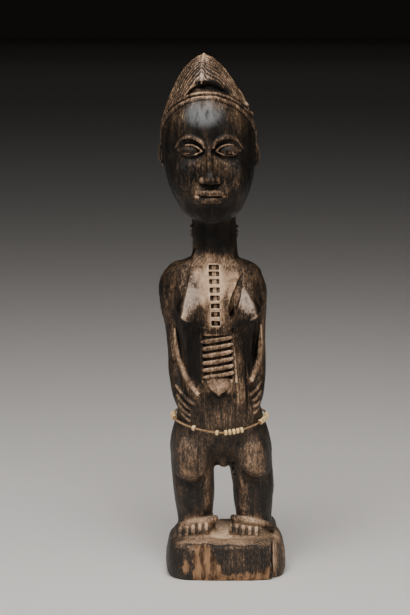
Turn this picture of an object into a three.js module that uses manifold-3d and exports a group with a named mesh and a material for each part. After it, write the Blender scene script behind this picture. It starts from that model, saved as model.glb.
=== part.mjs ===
// A standing Baule figure, a woman with her hands laid on her belly, carved with its base from one
// billet of dark wood. A string of glass beads is tied loosely round its hips.
// Millimetres, +Z up, front towards -Y. The origin is the middle of the underside.
import * as THREE from 'three';
import { ConvexGeometry } from 'three/addons/geometries/ConvexGeometry.js';
import { LoftGeometry } from 'three/addons/geometries/LoftGeometry.js';
import { mergeVertices } from 'three/addons/utils/BufferGeometryUtils.js';
import Module from 'manifold-3d';

// Driving dimensions of the whole carving.
const HEIGHT = 400;
const BASE_TOP = 31;
const CROTCH = 83;
const NECK_ROOT = 245;
const CHIN = 273; // lower end of the head
const CROWN = 384; // upper end of the head, under the hair
const HAIRLINE = 340; // the hairline lies in the slanting plane z = HAIRLINE - y
const LEAN = 0.0415; // the figure tips to its right: sideways shift for each millimetre up
const LEG_APART = 22.5; // from the middle line to the middle of each leg
const SHORTEST_EDGE = 0.6; // the carving's facets have hardly any edge shorter than this
const SIDES = [-1, 1]; // the figure's right and left, as -X and +X

// Every form becomes a closed solid, and the solids are joined and cut.
const wasm = await Module();
wasm.setup();

function signedVolume(vertices, triangles) {
  let sum = 0;
  const corner = (k) => new THREE.Vector3().fromArray(vertices, 3 * triangles[k]);
  for (let k = 0; k < triangles.length; k += 3)
    sum += corner(k).dot(corner(k + 1).cross(corner(k + 2)));
  return sum / 6;
}

function solid(geometry) {
  const bare = new THREE.BufferGeometry();
  bare.setAttribute('position', geometry.attributes.position);
  bare.setIndex(geometry.index);
  const merged = mergeVertices(bare, 1e-4);
  const vertProperties = merged.attributes.position.array;
  const triVerts = new Uint32Array(merged.index.array);
  if (signedVolume(vertProperties, triVerts) < 0) triVerts.reverse();
  return new wasm.Manifold(new wasm.Mesh({ numProp: 3, vertProperties, triVerts }));
}

const join = (solids) => solids.reduce((sum, next) => sum.add(next));

function geometryOf(body) {
  const { numProp, numVert, vertProperties, triVerts } = body.getMesh();
  const positions = new Float32Array(3 * numVert);
  for (let i = 0; i < numVert; i++)
    positions.set(vertProperties.subarray(i * numProp, i * numProp + 3), 3 * i);
  const geometry = new THREE.BufferGeometry();
  geometry.setAttribute('position', new THREE.BufferAttribute(positions, 3));
  geometry.setIndex(new THREE.BufferAttribute(triVerts, 1));
  geometry.computeVertexNormals();
  return geometry;
}

const corners = ({ position }) =>
  Array.from({ length: position.count }, (_, k) => new THREE.Vector3().fromBufferAttribute(position, k));

// Takes out the splinter facets that joins leave: a very short edge shrinks to one of its ends,
// where the surface stays closed and no facet around it turns over.
function withoutSplinters(geometry, shortest) {
  const at = corners(geometry.attributes);
  const facets = [];
  for (let k = 0; k < geometry.index.count; k += 3)
    facets.push([0, 1, 2].map((j) => geometry.index.getX(k + j)));
  const around = at.map(() => new Set());
  facets.forEach((facet, f) => facet.forEach((v) => around[v].add(f)));
  const neighbours = (v) => new Set([...around[v]].flatMap((f) => facets[f]).filter((w) => w !== v));
  const facing = (facet) => {
    const [a, b, c] = facet.map((v) => at[v]);
    return b.clone().sub(a).cross(c.clone().sub(a));
  };

  const canShrink = (gone, kept) => {
    const shared = [...neighbours(gone)].filter((v) => neighbours(kept).has(v));
    if (shared.length !== 2) return false;
    return [...around[gone]].filter((f) => !around[kept].has(f)).every((f) => {
      const before = facing(facets[f]);
      const after = facing(facets[f].map((v) => (v === gone ? kept : v)));
      return after.dot(before) > 0.9 * after.length() * before.length();
    });
  };

  const shrink = (gone, kept) => {
    for (const f of around[gone]) {
      if (around[kept].has(f)) {
        facets[f].forEach((v) => v !== gone && around[v].delete(f));
        facets[f] = null;
      } else {
        facets[f] = facets[f].map((v) => (v === gone ? kept : v));
        around[kept].add(f);
      }
    }
    around[gone].clear();
  };

  for (let f = 0; f < facets.length; f++)
    for (let j = 0; j < 3 && facets[f]; j++) {
      const [gone, kept] = [facets[f][j], facets[f][(j + 1) % 3]];
      if (at[gone].distanceTo(at[kept]) < shortest && canShrink(gone, kept)) shrink(gone, kept);
    }
  geometry.setIndex(facets.filter(Boolean).flat());
  geometry.computeVertexNormals();
  return geometry;
}

// A form is given by levels, each { z, half, front, back }: its height, the half width, and the y
// of its front and back. A section is an oval at power 2 and squarer above that.
function pointOn({ z, half, front, back }, angle, power = 2, x = 0) {
  const bulge = (share) => Math.sign(share) * Math.abs(share) ** (2 / power);
  const middle = (front + back) / 2;
  const depth = (back - front) / 2;
  return new THREE.Vector3(x + half * bulge(Math.cos(angle)), middle + depth * bulge(Math.sin(angle)), z);
}

function form(levels, { sides = 24, power = 2, x = 0 } = {}) {
  const rings = levels.map((level) =>
    Array.from({ length: sides }, (_, k) => pointOn(level, (2 * Math.PI * k) / sides, power, x)));
  return solid(new LoftGeometry(rings, { capStart: true, capEnd: true }));
}

// A form's level at any height, on a smooth curve through the given ones.
function levelAt(levels, z) {
  const heights = levels.map((level) => level.z);
  const sizes = levels.flatMap((level) => [level.half, level.front, level.back]);
  const inside = THREE.MathUtils.clamp(z, heights[0], heights[heights.length - 1]);
  const [half, front, back] = new THREE.CubicInterpolant(heights, sizes, 3).evaluate(inside);
  return { z, half, front, back };
}

// A limb, finger or ridge: a round form along a smooth line, with a radius at each of its points.
function limb(points, radii, { sides = 8, rows = 8 } = {}) {
  const curve = new THREE.CatmullRomCurve3(points.map((p) => new THREE.Vector3(...p)));
  const { normals, binormals } = curve.computeFrenetFrames(rows);
  const rings = Array.from({ length: rows + 1 }, (_, k) => {
    const share = (k / rows) * (radii.length - 1);
    const step = Math.min(radii.length - 2, Math.floor(share));
    const radius = THREE.MathUtils.lerp(radii[step], radii[step + 1], share - step);
    const middle = curve.getPointAt(k / rows);
    return Array.from({ length: sides }, (_, j) => {
      const angle = (2 * Math.PI * j) / sides;
      return middle.clone()
        .addScaledVector(normals[k], radius * Math.cos(angle))
        .addScaledVector(binormals[k], radius * Math.sin(angle));
    });
  });
  return solid(new LoftGeometry(rings, { capStart: true, capEnd: true }));
}

function ball([x, y, z], [rx, ry, rz], sides = 10) {
  const sphere = new THREE.SphereGeometry(1, sides, Math.ceil(sides * 0.6));
  return solid(sphere.rotateX(Math.PI / 2).scale(rx, ry, rz).translate(x, y, z));
}

function block([x, y, z], [width, depth, height], tilt = 0) {
  return solid(new THREE.BoxGeometry(width, depth, height).rotateY(-tilt).translate(x, y, z));
}

// The y of a body's front surface at a place seen from the front, to lay relief on it.
function drape(body) {
  const surface = new THREE.Mesh(geometryOf(body));
  const ray = new THREE.Raycaster();
  return (x, z) => {
    ray.set(new THREE.Vector3(x, -HEIGHT, z), new THREE.Vector3(0, 1, 0));
    const [hit] = ray.intersectObject(surface);
    return hit ? hit.point.y : 0;
  };
}

// The base: a low block with rounded sides. Its front corner on the figure's left has split away.
const BASE = [
  { z: 0, half: 43.5, front: -36.5, back: 36.5 },
  { z: 3, half: 45.6, front: -38, back: 38.5 },
  { z: 13, half: 46.8, front: -39, back: 40 },
  { z: 23, half: 45.6, front: -39, back: 39.5 },
  { z: 28, half: 43.8, front: -38, back: 38 },
  { z: 30, half: 42, front: -35.5, back: 36.5 },
  { z: BASE_TOP, half: 38, front: -29, back: 33 },
];
const SPLIT = { x: 34, y: -28, bend: 11, width: 12.6, end: -12 };

function base() {
  const beyond = 60;
  const corner = new THREE.Shape();
  corner.moveTo(SPLIT.x, -beyond);
  corner.lineTo(SPLIT.x, SPLIT.y);
  corner.quadraticCurveTo(SPLIT.x + SPLIT.bend, SPLIT.y + 1, SPLIT.x + SPLIT.width, SPLIT.end);
  corner.lineTo(beyond, SPLIT.end);
  corner.lineTo(beyond, -beyond);
  const lost = new THREE.ExtrudeGeometry(corner, { depth: beyond, bevelEnabled: false, curveSegments: 5 });
  return form(BASE, { sides: 28, power: 3.6 }).subtract(solid(lost.translate(0, 0, -beyond / 4)));
}

// Feet: the instep ends in a ridge in front of the shin and falls from there to the toes. Both feet
// turn a little to the figure's right.
const FOOT = [
  { z: BASE_TOP - 5, half: 16.2, front: -28.5, back: 22 },
  { z: BASE_TOP + 1, half: 15.8, front: -27, back: 21 },
  { z: BASE_TOP + 5.5, half: 14.8, front: -20, back: 19.5 },
  { z: BASE_TOP + 10.3, half: 13.6, front: -13.4, back: 17.5 },
];
const FEET = [{ side: -1, toesMiddle: -25.5 }, { side: 1, toesMiddle: 13 }];
const TOE = { pitch: 5, width: 3.1, thick: 3.2, long: 17, y: -21.6, z: 34.4, slope: 0.6, round: 0.4 };
const TOES_Y = -24;
const ANKLE_Z = 36;

function foot({ side, toesMiddle }) {
  const heel = side * LEG_APART - LEAN * ANKLE_Z;
  const turn = (toesMiddle - heel) / TOES_Y; // sideways for each millimetre back
  const turned = new THREE.Matrix4().set(1, turn, 0, heel, 0, 1, 0, 0, 0, 0, 1, 0, 0, 0, 0, 1);
  const toes = [-2, -1, 0, 1, 2].map((k) => {
    const toe = new THREE.BoxGeometry(TOE.width, TOE.long, TOE.thick).rotateX(TOE.slope);
    return solid(toe.translate(toesMiddle + k * TOE.pitch, TOE.y + TOE.round * k * k, TOE.z));
  });
  return join([form(FOOT, { sides: 16, power: 2.8 }).transform(turned.elements), ...toes]);
}

// Legs: short and thick, the calf swelling to the back, the thigh standing out over the shin.
const LEG = [
  { z: BASE_TOP, half: 13, front: -10.5, back: 15.5 },
  { z: 42, half: 13.7, front: -11.5, back: 17 },
  { z: 53, half: 15, front: -13, back: 20.5 },
  { z: 63, half: 15.9, front: -13.5, back: 20.5 },
  { z: 73, half: 16.4, front: -13.5, back: 17.5 },
  { z: 84, half: 17, front: -14, back: 22 },
  { z: 102, half: 16.2, front: -15, back: 26 },
];
const THIGH_FRONT = [
  { z: 74, half: 5.5, front: -17.5, back: -6 },
  { z: 76, half: 8.5, front: -19.8, back: -5 },
  { z: 81, half: 11, front: -21.6, back: -4 },
  { z: 92, half: 12.6, front: -22.4, back: -4 },
  { z: 104, half: 12.6, front: -22.4, back: -4 },
  { z: 115, half: 10, front: -20, back: -4 },
];
const THIGH_APART = 25.4;

function leg(side) {
  return join([
    form(LEG, { sides: 16, x: side * LEG_APART }),
    form(THIGH_FRONT, { sides: 12, x: side * THIGH_APART }),
  ]);
}

// The trunk, from the hips to the root of the neck, with round buttocks and a groove down the back.
const TRUNK = [
  { z: CROTCH, half: 29, front: -4, back: 22 },
  { z: 87, half: 36.5, front: -10, back: 26 },
  { z: 93, half: 38.7, front: -15, back: 28 },
  { z: 104, half: 38.2, front: -22, back: 28 },
  { z: 113, half: 36.6, front: -24.4, back: 26.5 },
  { z: 122, half: 33.7, front: -25.2, back: 23.2 },
  { z: 131, half: 31.4, front: -25.6, back: 20 },
  { z: 143, half: 29.4, front: -25.6, back: 18.2 },
  { z: 156, half: 28, front: -25, back: 18 },
  { z: 170, half: 27.6, front: -23.8, back: 18.6 },
  { z: 184, half: 28.6, front: -22.6, back: 20 },
  { z: 198, half: 31.5, front: -22.4, back: 22 },
  { z: 212, half: 34.5, front: -22, back: 23.4 },
  { z: 223, half: 36.4, front: -20, back: 23.6 },
  { z: 231, half: 36, front: -17, back: 23 },
  { z: 237, half: 34, front: -15, back: 22 },
  { z: 240.5, half: 29, front: -13.6, back: 21 },
  { z: NECK_ROOT, half: 18, front: -12.2, back: 20 },
];
const BUTTOCK = { apart: 16, y: 14, z: 98, radii: [20.5, 19, 17] };
const MOUND = { at: [1.7, -8, 87.5], radii: [5, 5.5, 4.5] };
// The flanks of the belly are hollowed, so that the forearms and the scarred panel stand out.
const FLANK = { apart: 21, y: -24, z: 164, radii: [6, 10.5, 31] };
const SPINE = {
  line: [[0, 24.5, 236], [0, 25.6, 215], [0, 21, 180], [0, 19.2, 150], [0, 25, 120]],
  radii: [1.5, 2.2, 1.1],
};
const CLEFT = { line: [[0, 31, 118], [0, 35.5, 100], [0, 30, 80]], radii: [1.5, 3, 2] };

function trunk() {
  const full = [
    form(TRUNK, { sides: 22 }),
    ...SIDES.map((side) => ball([side * BUTTOCK.apart, BUTTOCK.y, BUTTOCK.z], BUTTOCK.radii, 12)),
    ball(MOUND.at, MOUND.radii, 8),
  ];
  const hollows = [
    ...SIDES.map((side) => ball([side * FLANK.apart, FLANK.y, FLANK.z], FLANK.radii, 10)),
    limb(SPINE.line, SPINE.radii, { sides: 5, rows: 5 }),
    limb(CLEFT.line, CLEFT.radii, { sides: 5, rows: 3 }),
  ];
  return join(full).subtract(join(hollows));
}

// Arms: round shoulders, the arms close to the sides, the forearms coming forward to the belly.
const ARM = [
  { at: [23, 5, 238.5], radius: 5 },
  { at: [27, 4.6, 232], radius: 10 },
  { at: [29.3, 4.2, 221], radius: 11.6 },
  { at: [30.5, 4.4, 207], radius: 10 },
  { at: [30.6, 5, 193], radius: 7.8 },
  { at: [30, 6, 176], radius: 7.6 },
  { at: [29.5, 4.5, 159], radius: 7.9 },
  { at: [28.2, -3, 145], radius: 7.3 },
  { at: [26, -9.5, 135], radius: 6.2 },
  { at: [24, -13, 126], radius: 4.4 },
];
// The thumb and the four fingers, from root to tip, as places [x, z] seen from the front.
const FINGERS = [
  { line: [[29.6, 164], [26, 151], [20.5, 142.6], [15.5, 139]], radius: 2.2 },
  { line: [[32.6, 147], [27.5, 140.6], [23, 137], [19, 134.6]], radius: 1.5 },
  { line: [[32, 140], [28.5, 135.6], [25.6, 132.6], [22.6, 130.4]], radius: 1.4 },
  { line: [[31, 133.4], [28.3, 130], [25.8, 127.6], [22.8, 125.8]], radius: 1.3 },
  { line: [[29.6, 127.6], [27.4, 124.8], [25.2, 122.6], [23, 121]], radius: 1.2 },
];
// The left hand lies further out and higher than the right.
const HAND_SHIFT = { [-1]: { outward: 0, upward: 0 }, [1]: { outward: 3, upward: 6 } };

const arm = (side) => limb(ARM.map(({ at: [x, y, z] }) => [side * x, y, z]),
  ARM.map((part) => part.radius), { sides: 10, rows: 10 });

function fingers(side, skin) {
  const { outward, upward } = HAND_SHIFT[side];
  return FINGERS.map(({ line, radius }) => {
    const points = line.map(([fromMiddle, height], k) => {
      const share = k / (line.length - 1);
      const x = side * (fromMiddle + outward * share);
      const z = height + upward * (0.4 + 0.6 * share);
      return [x, skin(x, z) - 0.1 * radius, z];
    });
    return limb(points, [radius * 0.7, radius, radius, radius * 0.8], { sides: 5, rows: 3 });
  });
}

// Breasts: long rounded pyramids from the collar, whose point hangs out and down over a straight
// lower edge. Each corner is a small ball, and the breast is the hull of its corners.
const BREASTS = [
  { collar: [-15, 234], outer: [-24.5, 219], point: [-24, -30.6, 202.4], inner: [-8.5, 200.5] },
  { collar: [17, 233], outer: [27, 217], point: [29.8, -28.4, 204], inner: [13, 201.5] },
];
const BREAST_BALL = { collar: 3, outer: 6, point: 2.4, inner: 3.4, root: 3.4 };

function breast({ collar, outer, point, inner }, skin) {
  const under = ([x, z], depth) => [x, skin(x, z) + depth, z];
  const places = {
    collar: under(collar, 1.6),
    outer: under(outer, 2.6),
    point,
    inner: under(inner, 2),
    root: [point[0], skin(...inner) + 6, point[2] - 1],
  };
  const hull = Object.entries(places).flatMap(([name, place]) =>
    corners(new THREE.IcosahedronGeometry(BREAST_BALL[name]).translate(...place).attributes));
  return solid(new ConvexGeometry(hull));
}

// Scars: a ladder of sunk steps down the breastbone, a sunk panel of slanting ridges on the belly,
// and below it the navel as a tongue.
const LADDER = { top: 238.6, steps: 8, pitch: 6, width: 7.6, narrowing: 0.25, height: 3.4, depth: 2 };
const PANEL = { low: 154, high: 187.5, half: 11.6, sunk: 2.6, turn: 0.03 };
const RIDGE = { count: 6, thick: 2.6, deep: 5.4, slant: 0.15, first: 0.65, over: 0.4 };
const NAVEL = { z: 146, half: 9, proud: 3.4, skin: -25.6 };

function ladderCuts(skin) {
  return Array.from({ length: LADDER.steps }, (_, k) => {
    const z = LADDER.top - k * LADDER.pitch;
    const size = [LADDER.width - LADDER.narrowing * k, 2 * LADDER.depth, LADDER.height];
    return block([0, skin(0, z), z], size);
  });
}

function panelCut(skin) {
  const middle = (PANEL.low + PANEL.high) / 2;
  const reach = 20;
  const size = [2 * PANEL.half, reach, PANEL.high - PANEL.low];
  return block([0, skin(0, middle) + PANEL.sunk - reach / 2, middle], size, PANEL.turn);
}

function panelRidges(skin) {
  const pitch = (PANEL.high - PANEL.low - 1) / RIDGE.count;
  return Array.from({ length: RIDGE.count }, (_, k) => {
    const z = PANEL.low + (k + RIDGE.first) * pitch;
    const size = [2 * (PANEL.half + RIDGE.over), RIDGE.deep, RIDGE.thick];
    return block([0, skin(0, z) + PANEL.sunk, z], size, RIDGE.slant);
  });
}

function navel() {
  const { z, half, proud, skin } = NAVEL;
  return form([
    { z: z - 4, half: half - 5, front: skin - 0.6 * proud, back: skin + 10 },
    { z: z - 2.4, half: half - 2, front: skin - proud, back: skin + 10 },
    { z: z + 2.5, half: half + 0.6, front: skin - 0.8 * proud, back: skin + 11 },
    { z: PANEL.low + 2, half: half + 1.6, front: skin + 1, back: skin + 13 },
  ], { sides: 14 });
}

// A crack in the wood, from the figure's left shoulder to a deep hole beside the breastbone.
const CRACK = [
  { at: [21, 233], radius: 0.8, sunk: 0.2 },
  { at: [17, 224], radius: 1.5, sunk: 0.2 },
  { at: [12.4, 213], radius: 2, sunk: 0.2 },
  { at: [11.6, 205], radius: 3.2, sunk: 2 },
  { at: [11.8, 197], radius: 1.2, sunk: 0.2 },
];

function crack(skin) {
  const line = CRACK.map(({ at: [x, z], sunk }) => [x, skin(x, z) + sunk, z]);
  return limb(line, CRACK.map((part) => part.radius), { sides: 5, rows: 5 });
}

// The neck, with raised scars on both sides.
const NECK = [
  { z: NECK_ROOT - 9, half: 18.2, front: -13.5, back: 22 },
  { z: NECK_ROOT + 2, half: 17.2, front: -12.2, back: 21 },
  { z: CHIN - 11, half: 17, front: -12, back: 20.5 },
  { z: CHIN + 6, half: 16.8, front: -12, back: 20 },
  { z: CHIN + 26, half: 16, front: -10, back: 18 },
];
const NECK_SCARS = { rows: 3, low: 260.5, pitch: 4.2, x: 17.2, y: 2.5, radii: [1.5, 2.4, 1.5] };

function neck() {
  const scars = SIDES.flatMap((side) =>
    Array.from({ length: NECK_SCARS.rows }, (_, k) => {
      const z = NECK_SCARS.low + k * NECK_SCARS.pitch;
      return ball([side * NECK_SCARS.x, NECK_SCARS.y, z], NECK_SCARS.radii, 6);
    }));
  return join([form(NECK, { sides: 18 }), ...scars]);
}

// The head: an egg with a high forehead.
const HEAD = [
  { z: CHIN, half: 7, front: -16, back: 3 },
  { z: 275.5, half: 14, front: -23.5, back: 7 },
  { z: 280, half: 20.5, front: -28.6, back: 11 },
  { z: 287, half: 25.2, front: -31.4, back: 16 },
  { z: 297, half: 30, front: -33, back: 23 },
  { z: 309, half: 33.4, front: -33.2, back: 29 },
  { z: 322, half: 35, front: -33.2, back: 33.5 },
  { z: 337, half: 35, front: -33.6, back: 36 },
  { z: 350, half: 33.4, front: -33, back: 36.3 },
  { z: 362, half: 29.4, front: -30, back: 34.2 },
  { z: 373, half: 23.4, front: -23.5, back: 29 },
  { z: CROWN - 3, half: 13, front: -13, back: 18 },
];
const HEAD_SIDES = 24;
const head = form(HEAD, { sides: HEAD_SIDES });

// The face follows the thirds and fifths of a drawing book, cut in the manner of these carvings:
// arched brows, heavy-lidded eyes, a slender nose and a small raised mouth.
const FOREHEAD_TOP = 369;
const THIRD = (FOREHEAD_TOP - CHIN) / 3;
const BROW_Z = CHIN + 2 * THIRD;
const NOSE_Z = CHIN + THIRD;
const MOUTH_Z = NOSE_Z - THIRD / 3;
const EYE_Z = CHIN + (CROWN - CHIN) / 2;
const EYE_WIDTH = (2 * 35) / 5;
const EYE = { x: EYE_WIDTH, sunk: 1.4, radii: [EYE_WIDTH / 2 + 1, 3.4, 3.9] };
const NOSE = { back: -22, tip: 8.4, bridge: 2.4 };
const LIPS = [{ z: MOUTH_Z + 2, proud: 1.9, half: 10.5 }, { z: MOUTH_Z - 2.2, proud: 1.6, half: 9.5 }];

const faceY = drape(head);
const onFace = (x, z, proud) => [x, faceY(x, z) - proud, z];

function brow(side) {
  return limb([
    onFace(side * 3.4, EYE_Z - 1, 1),
    onFace(side * EYE.x * 0.5, BROW_Z - 1.6, 0.8),
    onFace(side * EYE.x, BROW_Z + 1.6, 0.6),
    onFace(side * (EYE.x + 6), BROW_Z - 0.6, 0.4),
    onFace(side * (EYE.x + 10.5), EYE_Z + 1, 0.2),
  ], [1.6, 1.5, 1.4, 1.3, 1], { sides: 4, rows: 6 });
}

const eye = (side) => ball(onFace(side * EYE.x, EYE_Z, -EYE.sunk), EYE.radii, 8);

function nose() {
  const root = faceY(0, NOSE_Z);
  return form([
    { z: NOSE_Z - 1, half: 5.4, front: root - NOSE.tip + 1.4, back: NOSE.back },
    { z: NOSE_Z + 2, half: 6.4, front: root - NOSE.tip, back: NOSE.back },
    { z: NOSE_Z + 8, half: 3.6, front: root - NOSE.tip + 2.4, back: NOSE.back },
    { z: EYE_Z, half: 2.6, front: faceY(0, EYE_Z) - NOSE.bridge, back: NOSE.back },
    { z: BROW_Z, half: 3, front: faceY(0, BROW_Z) - 0.4, back: NOSE.back },
  ], { sides: 8 });
}

function lip({ z, proud, half }) {
  const line = [-1, -0.5, 0, 0.5, 1].map((share) =>
    onFace(share * half, z + (Math.abs(share) === 0.5 ? 0.3 : 0), 0.2 + (1 - Math.abs(share) ** 3) * proud));
  return limb(line, [1.2, 2, 2, 2, 1.2], { sides: 5, rows: 4 });
}

const face = () => [...SIDES.map(brow), ...SIDES.map(eye), nose(), ...LIPS.map(lip)];

// Ears: small open rings that stand off the sides of the head and face half forward.
const EAR = { x: 34.2, y: 0, z: 324, high: 8, deep: 5, thick: 1.7, turn: 0.6, open: 2.2 };

function ear(side) {
  const rim = [-1, -0.67, -0.33, 0, 0.33, 0.67, 1].map((share) => {
    const angle = share * EAR.open;
    const out = EAR.deep * Math.cos(angle);
    return [side * (EAR.x + out * Math.sin(EAR.turn)), EAR.y + out * Math.cos(EAR.turn),
      EAR.z + EAR.high * Math.sin(angle)];
  });
  return limb(rim, [EAR.thick * 0.8, EAR.thick, EAR.thick * 0.8], { sides: 5, rows: 6 });
}

// The coiffure: a thin cap of plaits over the head down to the hairline, and on it a crest like a
// steep roof, open in front. A double band borders the forehead and the temples, and a few small
// knobs sit above it.
const CAP_THICK = 1.8;
const CREST = { foot: 335, half: 35.6, deep: 39.5, drop: 62, middle: 1.5, reach: 38.3 };
const CREST_STATIONS = [-27.6, -24.5, -18, -9.5, 0, 9.5, 18, 25.5, 31.5, 35.5, 36.5]; // y of its sections
const EAVES = { middle: 13, fall: 0.4, lowest: 345 };
const BAND = { apart: 3.1, radius: 1.4, halfTurn: 1.85 };
const HAIR_KNOBS = [[-30.6, -10, 355], [29.2, -10, 361.5], [32.2, -6, 354.5]];
const KNOB_RADIUS = 2.4;

function crestRidge(y) {
  return CREST.foot + (HEIGHT - CREST.foot) * Math.sqrt(Math.max(0, 1 - (y / CREST.deep) ** 2));
}

function crestZ(x, y) {
  const narrowed = Math.sqrt(Math.max(0.02, 1 - ((y - CREST.middle) / CREST.reach) ** 2));
  const share = Math.min(1, Math.abs(x) / (CREST.half * narrowed));
  return crestRidge(y) - CREST.drop * (1 - (1 - share ** 1.786) ** 0.714);
}

// The crest's lower edge: open eaves above the hairline in front, inside the head from there back.
const eavesZ = (x, y) => Math.max(HAIRLINE - y + EAVES.middle - EAVES.fall * Math.abs(x), EAVES.lowest);

// The value between low and high where a test turns from true to false.
function turningPoint(low, high, holds) {
  for (let k = 0; k < 24; k++) {
    const middle = (low + high) / 2;
    if (holds(middle)) low = middle;
    else high = middle;
  }
  return low;
}

function crestSection(y) {
  const half = turningPoint(0, CREST.half, (x) => crestZ(x, y) > eavesZ(x, y));
  const over = Array.from({ length: 11 }, (_, k) => {
    const x = half * Math.sin((Math.PI / 2) * (k / 5 - 1));
    return new THREE.Vector3(x, y, crestZ(x, y));
  });
  const under = [0.5, 0, -0.5].map((share) => new THREE.Vector3(half * share, y, eavesZ(half * share, y)));
  return [...over, ...under];
}

// The line where the head meets the hairline plane, raised by a distance, from ear to ear.
function hairlinePath(raised) {
  const steps = 16;
  return Array.from({ length: steps + 1 }, (_, k) => {
    const angle = -Math.PI / 2 + BAND.halfTurn * (1 - (2 * k) / steps);
    const below = (z) => z + pointOn(levelAt(HEAD, z), angle).y < HAIRLINE + raised * Math.SQRT2;
    const z = turningPoint(CHIN, CROWN - 4, below);
    const { x, y } = pointOn(levelAt(HEAD, z), angle);
    return [1.01 * x, 1.01 * y, z];
  });
}

function hair() {
  const wider = HEAD.map(({ z, half, front, back }) =>
    ({ z, half: half + CAP_THICK, front: front - CAP_THICK, back: back + CAP_THICK }));
  const thick = 100;
  const bare = new THREE.BoxGeometry(120, 200, thick).translate(0, 0, -thick / 2).rotateX(-Math.PI / 4);
  const cap = form(wider, { sides: HEAD_SIDES }).subtract(solid(bare.translate(0, 0, HAIRLINE + 2.4)));
  const crest = solid(new LoftGeometry(CREST_STATIONS.map(crestSection), { capStart: true, capEnd: true }));
  const bands = [0, BAND.apart].map((raised) =>
    limb(hairlinePath(raised), [BAND.radius, BAND.radius], { sides: 5, rows: 12 }));
  const knobs = HAIR_KNOBS.map((at) => ball(at, [KNOB_RADIUS, KNOB_RADIUS, KNOB_RADIUS], 6));
  return join([cap, crest, ...bands, ...knobs]);
}

// The carving as one solid: everything above the base leans.
function figure() {
  const lean = new THREE.Matrix4().set(1, 0, -LEAN, 0, 0, 1, 0, 0, 0, 0, 1, 0, 0, 0, 0, 1);
  const body = join([trunk(), ...SIDES.map(arm)]);
  const skin = drape(body);
  const bosom = join([body, ...BREASTS.map((shape) => breast(shape, skin))]);
  const chest = drape(bosom);
  const scarred = bosom.subtract(join([panelCut(skin), ...ladderCuts(chest), crack(chest)]));
  const upright = join([
    ...SIDES.flatMap((side) => [leg(side), ear(side), ...fingers(side, skin)]),
    scarred, ...panelRidges(skin), navel(), neck(), head, ...face(), hair(),
  ]);
  return join([base(), ...FEET.map(foot), upright.transform(lean.elements)]);
}

// The waist string: a thin twisted cord tied behind. Its route runs from the knot at the back round
// the figure's left hip, the belly and the right hip, and back to the knot.
const STRING_RADIUS = 0.55;
const STRING_ROUTE = [
  [-3, 23.5, 128.8], [1.5, 23.1, 128.6], [7.4, 21.9, 128.2], [13.8, 19.9, 127.5], [20.3, 16.4, 126.6],
  [26.2, 10.9, 125.4], [30.2, 3.3, 124], [30.8, -5.3, 122.4], [28, -13.1, 120.6], [22.4, -19.2, 118.3],
  [15.5, -23.3, 116.4], [8.5, -25.6, 114.9], [1.8, -26.7, 114], [-4.7, -27.2, 113.6],
  [-11.3, -26.8, 114.1], [-18.1, -25.6, 115.2], [-25.2, -23.3, 116.7], [-32.3, -19.3, 118.4],
  [-38.1, -13.1, 120.6], [-41, -5.2, 122.4], [-40.4, 3.3, 124], [-36.6, 10.9, 125.4],
  [-30.7, 16.4, 126.6], [-24.3, 19.9, 127.5], [-18, 21.9, 128.2], [-12.2, 23.1, 128.6],
  [-7.7, 23.5, 128.8],
];
const STRING_STEPS = 62;
const KNOT = { at: [-5.35, 23.8, 128.8], radius: 2 };
const stringCurve = new THREE.CatmullRomCurve3(STRING_ROUTE.map((p) => new THREE.Vector3(...p)));

function addString(group) {
  const fibre = new THREE.MeshStandardMaterial({ color: 0x9a6a3a, roughness: 0.9 });
  const round = new THREE.Shape(Array.from({ length: 8 }, (_, k) =>
    new THREE.Vector2(STRING_RADIUS, 0).rotateAround(new THREE.Vector2(), (k * Math.PI) / 4)));
  const tube = { steps: STRING_STEPS, bevelEnabled: false, extrudePath: stringCurve };
  const string = new THREE.Mesh(new THREE.ExtrudeGeometry(round, tube), fibre);
  string.name = 'waist_string';
  const knot = new THREE.Mesh(new THREE.IcosahedronGeometry(KNOT.radius, 1), fibre);
  knot.name = 'string_knot';
  knot.position.set(...KNOT.at);
  group.add(string, knot);
}

// Glass beads, threaded in groups. A group starts at a distance along the string from the middle of
// the belly, towards the figure's left.
const BEAD = { radius: 2.15, hole: 0.9, half: 1.3, pitch: 3.1 };
const BEAD_GROUPS = [
  { start: -78, count: 3 }, { start: -53, count: 4 }, { start: -20.6, count: 1 },
  { start: -2.2, count: 1 }, { start: 4.5, count: 5 }, { start: 35.4, count: 6 }, { start: 66, count: 3 },
];
const BELLY_SHARE = 0.502; // where along the string the middle of the belly is, from the knot

function beadGeometry() {
  const { radius, hole, half } = BEAD;
  const profile = [[hole, -half], [radius, -half / 2], [radius, half / 2], [hole, half], [hole, -half]];
  return new THREE.LatheGeometry(profile.map((p) => new THREE.Vector2(...p)), 8);
}

function addBeads(group) {
  const glass = new THREE.MeshStandardMaterial({ color: 0xe6d6ae, roughness: 0.35 });
  const places = BEAD_GROUPS.flatMap(({ start, count }) =>
    Array.from({ length: count }, (_, k) => start + k * BEAD.pitch));
  places.forEach((place, k) => {
    const share = BELLY_SHARE - place / stringCurve.getLength();
    const bead = new THREE.Mesh(beadGeometry(), glass);
    bead.name = `bead_${String(k + 1).padStart(2, '0')}`;
    bead.position.copy(stringCurve.getPointAt(share));
    bead.quaternion.setFromUnitVectors(new THREE.Vector3(0, 1, 0), stringCurve.getTangentAt(share));
    group.add(bead);
  });
}

const baule = new THREE.Group();
const wood = new THREE.MeshStandardMaterial({ color: 0x3a2a1e, roughness: 0.5 });
const carving = new THREE.Mesh(withoutSplinters(geometryOf(figure()), SHORTEST_EDGE), wood);
carving.name = 'figure';
baule.add(carving);
addString(baule);
addBeads(baule);

export default baule;
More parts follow.
